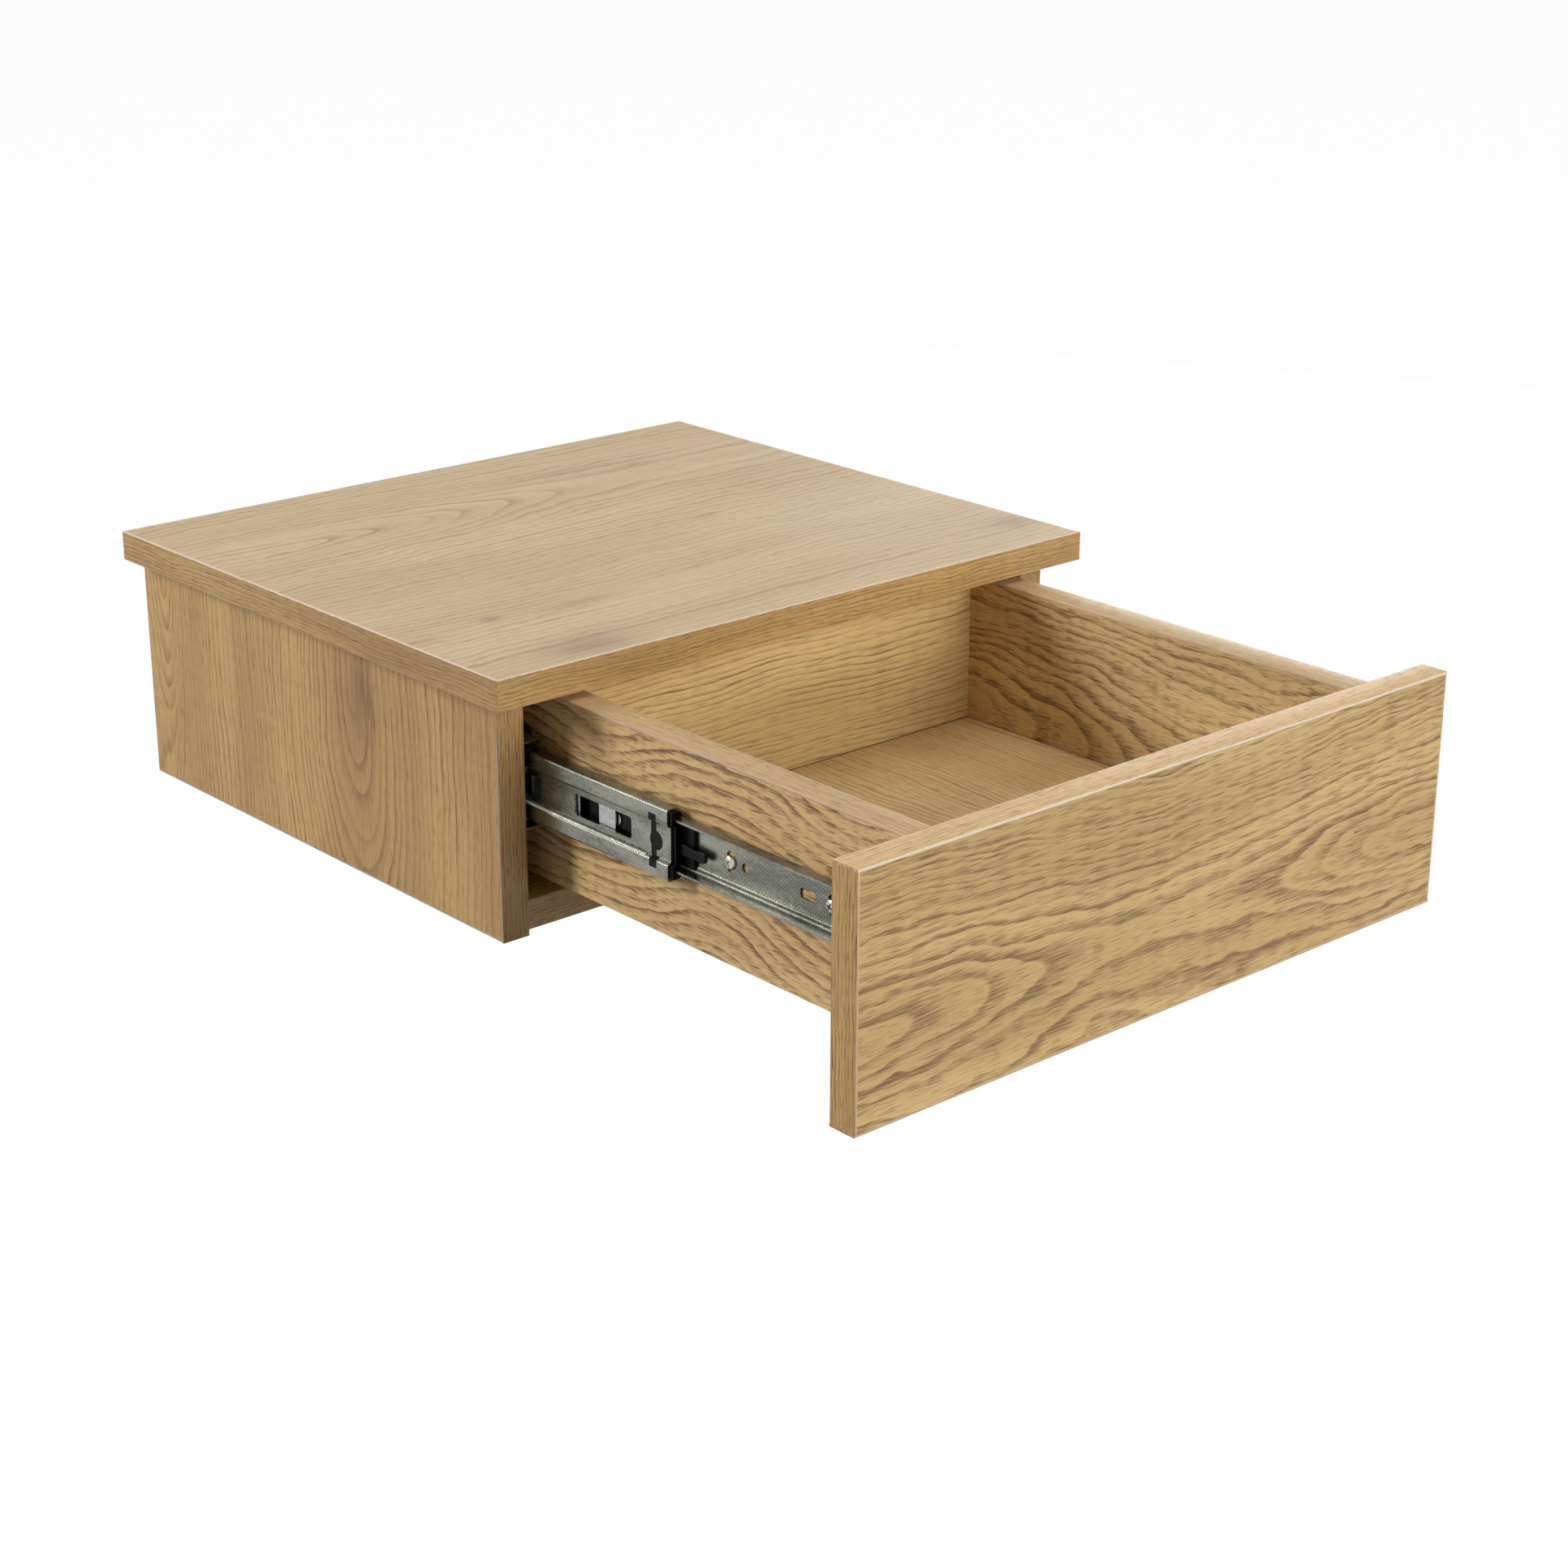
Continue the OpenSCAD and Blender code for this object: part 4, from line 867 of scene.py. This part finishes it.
def windowCutter(y0, y1, z0, z1, r, u0, u1, steps=6):
    # a rounded window through the web, from u0 to u1
    bm = bmesh.new()
    outline = []
    for cy, cz, first in ((y1 - r, z1 - r, 0), (y0 + r, z1 - r, 90), (y0 + r, z0 + r, 180),
                          (y1 - r, z0 + r, 270)):
        for k in range(steps + 1):
            a = math.radians(first + 90 * k / steps)
            outline.append((cy + r * math.cos(a), cz + r * math.sin(a)))
    closeTube(bm, [[bm.verts.new((u, y, z)) for y, z in outline] for u in (u0, u1)])
    bmesh.ops.remove_doubles(bm, verts=bm.verts, dist=0.001)
    return meshObject("windowCutter", bm)


memberEdges = {"width": 0.28, "angle": 50}     # mm, and degrees

# line is the sheet's middle, in (away from the case side, up); windows are
# (start, end, bottom, top, corner radius), and through is how far the cutters reach
members = {
    "cabinet_member": {
        "body": "case", "thick": 1.2, "bend": 1.0, "front": -303.5, "length": 250,
        "line": ((10.6, -18.5), (10.6, -20.7), (0.6, -20.7), (0.6, 20.7), (10.6, 20.7),
                 (10.6, 18.5)),
        "windows": [(y - 1.9, y + 1.9, -1.9, 1.9, 1.89) for y in (35, 131, 227)]
                   + [(y - 5, y + 5, -2.5, 2.5, 2.4) for y in (67, 195, 99, 163)],
        "through": (-1, 3)},
    "middle_member": {
        "body": "middle", "thick": 1.0, "bend": 0.85, "front": -402.545, "length": 241,
        "line": ((10.5, -14.8), (8.7, -16.2), (3.5, -16.2), (3.5, -9.35), (5.5, -8.15),
                 (5.5, 8.15), (3.5, 9.35), (3.5, 16.2), (8.7, 16.2), (10.5, 14.8)),
        "windows": [(y, y + 40.5, -5.1, 5.1, 1.6) for y in (27, 92, 150)]
                   + [(7.6, 12.7, 7.5, 12.5, 0.2), (7.6, 12.7, -12.5, -7.5, 0.2),
                      (9.7, 13.3, -7.7, 7.7, 0.2), (5.4, 14.2, -4.9, 3.9, 4.39)],
        "through": (2, 7)},
    "drawer_member": {
        "body": "drawer", "thick": 1.0, "bend": 0.65, "front": -536.5, "length": 246,
        "line": ((5.7, -11.8), (11.3, -11.8), (12.5, -10.6), (12.5, 10.6), (11.3, 11.8),
                 (5.7, 11.8)),
        "windows": [(y - 2.5, y + 2.5, -5, 5, 2.4) for y in (38.5, 102.5, 220)]
                   + [(90.8, 95.2, -2.2, 2.2, 2.19), (48.75, 58.25, -2.3, 2.3, 1.4)],
        "through": (11, 14)},
}

for name, m in members.items():
    for side in ("left", "right"):
        bm = extrudeY(sheetOutline(m["line"], m["thick"], m["bend"]), m["front"],
                      m["front"] + m["length"])
        member = meshObject("%s_%s_rolled" % (name, side), bm)
        cutAway(member, [windowCutter(m["front"] + y0, m["front"] + y1, z0, z1, r, *m["through"])
                         for y0, y1, z0, z1, r in m["windows"]])
        placeOnSlide(member, side)
        easeEdges(member, **memberEdges)
        fit(member, railZinc, slideBody(m["body"], side), "zinc_sheet", "%s_%s" % (name, side))
print("slide members rolled")

for node, width, body in (
        # width of the eased corners in mm
        ("front_guide_left", 0.22, "middle_left"), ("front_guide_right", 0.22, "middle_right"),
        ("lever_base_left", 0.3, "drawer"), ("lever_base_right", 0.3, "drawer"),
        ("release_lever_left", 0.35, "lever_left"), ("release_lever_right", 0.35, "lever_right"),
        ("rear_stops", 0.4, "case")):
    fit(softCopy(node, width, easing), blackPlastic, body, "black_plastic", node)
print("guides, levers and stops eased")


# what repeats: knurled ribs, balls and screws, by geometry nodes

def plantTree(name, inputs):
    tree = bpy.data.node_groups.new(name, "GeometryNodeTree")
    for label, kind in (("Geometry", "Geometry"), *inputs):
        tree.interface.new_socket(name=label, in_out="INPUT", socket_type="NodeSocket" + kind)
    tree.interface.new_socket(name="Geometry", in_out="OUTPUT", socket_type="NodeSocketGeometry")
    w = Wires(tree)
    return tree, w, w.node("NodeGroupInput").outputs


def endTree(w, given, instances, smooth=True):
    whole = w.node("GeometryNodeRealizeInstances", {0: instances}).outputs[0]
    shaded = w.node("GeometryNodeSetShadeSmooth", {0: whole, "Shade Smooth": smooth}).outputs[0]
    finished = w.node("GeometryNodeSetMaterial", {0: shaded, "Material": given["Finish"]})
    w.node("NodeGroupOutput", {"Geometry": finished.outputs[0]})


def makeRibTree():
    # short ribs side by side across a fold of the metal
    tree, w, given = plantTree("ribRow", (
        ("Start", "Vector"), ("Step", "Float"), ("Count", "Int"), ("Radius", "Float"),
        ("Length", "Float"), ("Lean", "Float"), ("Finish", "Material")))
    step = w.node("ShaderNodeCombineXYZ", {1: given["Step"]}).outputs[0]
    line = w.node("GeometryNodeMeshLine", {
        "Count": given["Count"], "Start Location": given["Start"], "Offset": step},
        mode="OFFSET").outputs[0]
    rib = w.node("GeometryNodeMeshCylinder", {"Vertices": 8, "Radius": given["Radius"],
                                              "Depth": given["Length"]}).outputs[0]
    lean = w.node("ShaderNodeCombineXYZ", {1: given["Lean"]}).outputs[0]
    row = w.node("GeometryNodeInstanceOnPoints", {"Points": line, "Instance": rib,
                                                  "Rotation": lean}).outputs[0]
    endTree(w, given, row)
    return tree


def makeBallTree():
    # one row of balls above the slide's centre line and one below
    tree, w, given = plantTree("ballRows", (
        ("Away", "Float"), ("First", "Float"), ("Height", "Float"), ("Pitch", "Float"),
        ("Count", "Int"), ("Radius", "Float"), ("Finish", "Material")))
    step = w.node("ShaderNodeCombineXYZ", {1: given["Pitch"]}).outputs[0]
    ball = w.node("GeometryNodeMeshIcoSphere", {"Radius": given["Radius"],
                                                "Subdivisions": 3}).outputs[0]
    both = w.node("GeometryNodeJoinGeometry")
    for height in (given["Height"], w.times(given["Height"], -1.0)):
        start = w.node("ShaderNodeCombineXYZ", {0: given["Away"], 1: given["First"],
                                                2: height}).outputs[0]
        line = w.node("GeometryNodeMeshLine", {"Count": given["Count"], "Start Location": start,
                                               "Offset": step}, mode="OFFSET").outputs[0]
        row = w.node("GeometryNodeInstanceOnPoints", {"Points": line, "Instance": ball}).outputs[0]
        w.tree.links.new(row, both.inputs[0])
    endTree(w, given, both.outputs[0])
    return tree


def makeScrewTree():
    # a screw at every point; its head looks away from the cabinet's middle where Facing is 1
    tree, w, given = plantTree("screwRow", (
        ("Screw", "Object"), ("Facing", "Float"), ("Seed", "Int"), ("Finish", "Material")))
    screw = w.node("GeometryNodeObjectInfo", {"Object": given["Screw"]}).outputs["Geometry"]
    side = w.node("ShaderNodeSeparateXYZ", {0: w.node("GeometryNodeInputPosition").outputs[0]})
    side = w.math("SIGN", side.outputs["X"])
    tip = w.times(w.times(side, given["Facing"]), math.pi / 2)
    turn = w.node("ShaderNodeCombineXYZ", {1: tip}).outputs[0]
    row = w.node("GeometryNodeInstanceOnPoints", {"Points": given["Geometry"], "Instance": screw,
                                                  "Rotation": turn}).outputs[0]
    chance = w.node("FunctionNodeRandomValue", {"Seed": given["Seed"]}, data_type="FLOAT")
    spin = w.times(chance.outputs["Value"], math.pi / 2)
    spin = w.node("ShaderNodeCombineXYZ", {2: spin}).outputs[0]
    turned = w.node("GeometryNodeRotateInstances", {"Instances": row, "Rotation": spin,
                                                    "Local Space": True}).outputs[0]
    endTree(w, given, turned, smooth=False)
    return tree


def grow(name, tree, values, points=()):
    # runs a tree on a few loose points (mm) and keeps the plain mesh
    bm = bmesh.new()
    for p in points:
        bm.verts.new(p)
    thing = meshObject(name, bm)
    maker = thing.modifiers.new("maker", "NODES")
    maker.node_group = tree
    for item in tree.interface.items_tree:
        if item.in_out == "INPUT" and item.name in values:
            maker[item.identifier] = values[item.name]
    return settle(thing)


ribTree, ballTree, screwTree = makeRibTree(), makeBallTree(), makeScrewTree()

ribs = {
    "middle_member_ribs": {"body": "middle", "start": (4.15, -386.5, -8.25), "count": 222,
                           "radius": 0.38, "length": 2.2, "lean": 59},
    "drawer_member_ribs": {"body": "drawer", "start": (11.95, -535.5, -9.6), "count": 244,
                           "radius": 0.34, "length": 2.0, "lean": 0},
    "drawer_member_low_ribs": {"body": "drawer", "start": (11.62, -535.5, -10.92), "count": 244,
                               "radius": 0.34, "length": 1.5, "lean": 45},
}
ribStep = 1.0

balls = {
    "outer_balls": {"body": "outer_cage", "away": 6.2, "first": -289.5225, "height": 18.4,
                    "pitch": 12, "count": 10},
    "inner_balls": {"body": "inner_cage", "away": 7.4, "first": -374.9725, "height": 14.0,
                    "pitch": 11, "count": 7},
}
ballRadius = 1.65

for name, b in balls.items():
    for side in ("left", "right"):
        row = grow("%s_%s_set" % (name, side), ballTree, {
            "Away": b["away"] * mm, "First": b["first"] * mm, "Height": b["height"] * mm,
            "Pitch": b["pitch"] * mm, "Count": b["count"], "Radius": ballRadius * mm,
            "Finish": ballSteel})
        placeOnSlide(row, side)
        fit(row, ballSteel, slideBody(b["body"], side), "bearing_steel", "%s_%s" % (name, side))

# the ribs get the paler zinc, a painted highlight along the folds
for name, r in ribs.items():
    for side in ("left", "right"):
        row = grow("%s_%s" % (name, side), ribTree, {
            "Start": tuple(c * mm for c in r["start"]), "Step": ribStep * mm,
            "Count": r["count"], "Radius": r["radius"] * mm, "Length": r["length"] * mm,
            "Lean": math.radians(r["lean"]), "Finish": highlightRibZinc})
        placeOnSlide(row, side)
        fit(row, highlightRibZinc, slideBody(r["body"], side), "zinc_sheet")
print("balls and knurled ribs set")

screwSizes = {"shank": 1.8, "bite": 12, "head": 3.4, "rise": 2.0, "sides": 32,
              "cross": 3.9, "slot": 0.85, "cut": 1.3, "wideTop": 1.0, "wideLow": 0.52}


def turnScrew(s):
    # head's underside at height 0, shank downwards
    head, rise, shank, bite = s["head"], s["rise"], s["shank"], s["bite"]
    profile = [(0.0, rise), (head * 0.4, rise - 0.06), (head * 0.68, rise - 0.3),
               (head * 0.88, rise - 0.72), (head * 0.98, rise - 1.25), (head, 0.35),
               (head - 0.12, 0.0), (shank, 0.0), (shank, 2.5 - bite), (0.35, -bite), (0.0, -bite)]
    bm = bmesh.new()
    verts = [bm.verts.new((r, 0, z)) for r, z in profile]
    edges = [bm.edges.new(pair) for pair in zip(verts, verts[1:])]
    bmesh.ops.spin(bm, geom=verts + edges, cent=(0, 0, 0), axis=(0, 0, 1), angle=2 * math.pi,
                   steps=s["sides"], use_merge=True)
    bmesh.ops.remove_doubles(bm, verts=bm.verts, dist=0.001)
    screw = meshObject("screwPattern", bm)
    cutters = []
    for turn in (0, math.pi / 2):
        cut = bmesh.new()
        bmesh.ops.create_cube(cut, size=1)
        for v in cut.verts:
            wide = s["wideTop"] if v.co.z > 0 else s["wideLow"]
            v.co = Vector((v.co.x * s["cross"] * wide, v.co.y * s["slot"] * wide,
                           rise - s["cut"] if v.co.z < 0 else rise + 0.5))
        bmesh.ops.rotate(cut, verts=cut.verts, matrix=Matrix.Rotation(turn, 3, "Z"))
        cutters.append(meshObject("crossCutter", cut))
    cutAway(screw, cutters)
    keepSharp(screw, cornerFrom["screw"])
    return screw


screws = {
    # node: member, case side to the head's underside, places from the member's front, facing
    "drawer_member_screws": ("drawer_member", 12, (38.5, 102.5, 220), 1),
    "cabinet_member_screws": ("cabinet_member", 1.2, (35, 131, 227), -1),
}

screwPattern = turnScrew(screwSizes)
for node, (member, away, places, facing) in screws.items():
    points = [(sign * (slideSpot["caseFace"] - away), members[member]["front"] + y,
               slideSpot["height"]) for sign in (-1, 1) for y in places]
    row = grow(node + "_turned", screwTree, {"Screw": screwPattern, "Facing": float(facing),
                                             "Seed": 7, "Finish": screwZinc}, points)
    fit(row, screwZinc, members[member]["body"], "bright_zinc_steel", node)
bpy.data.objects.remove(screwPattern)
print("screws turned")
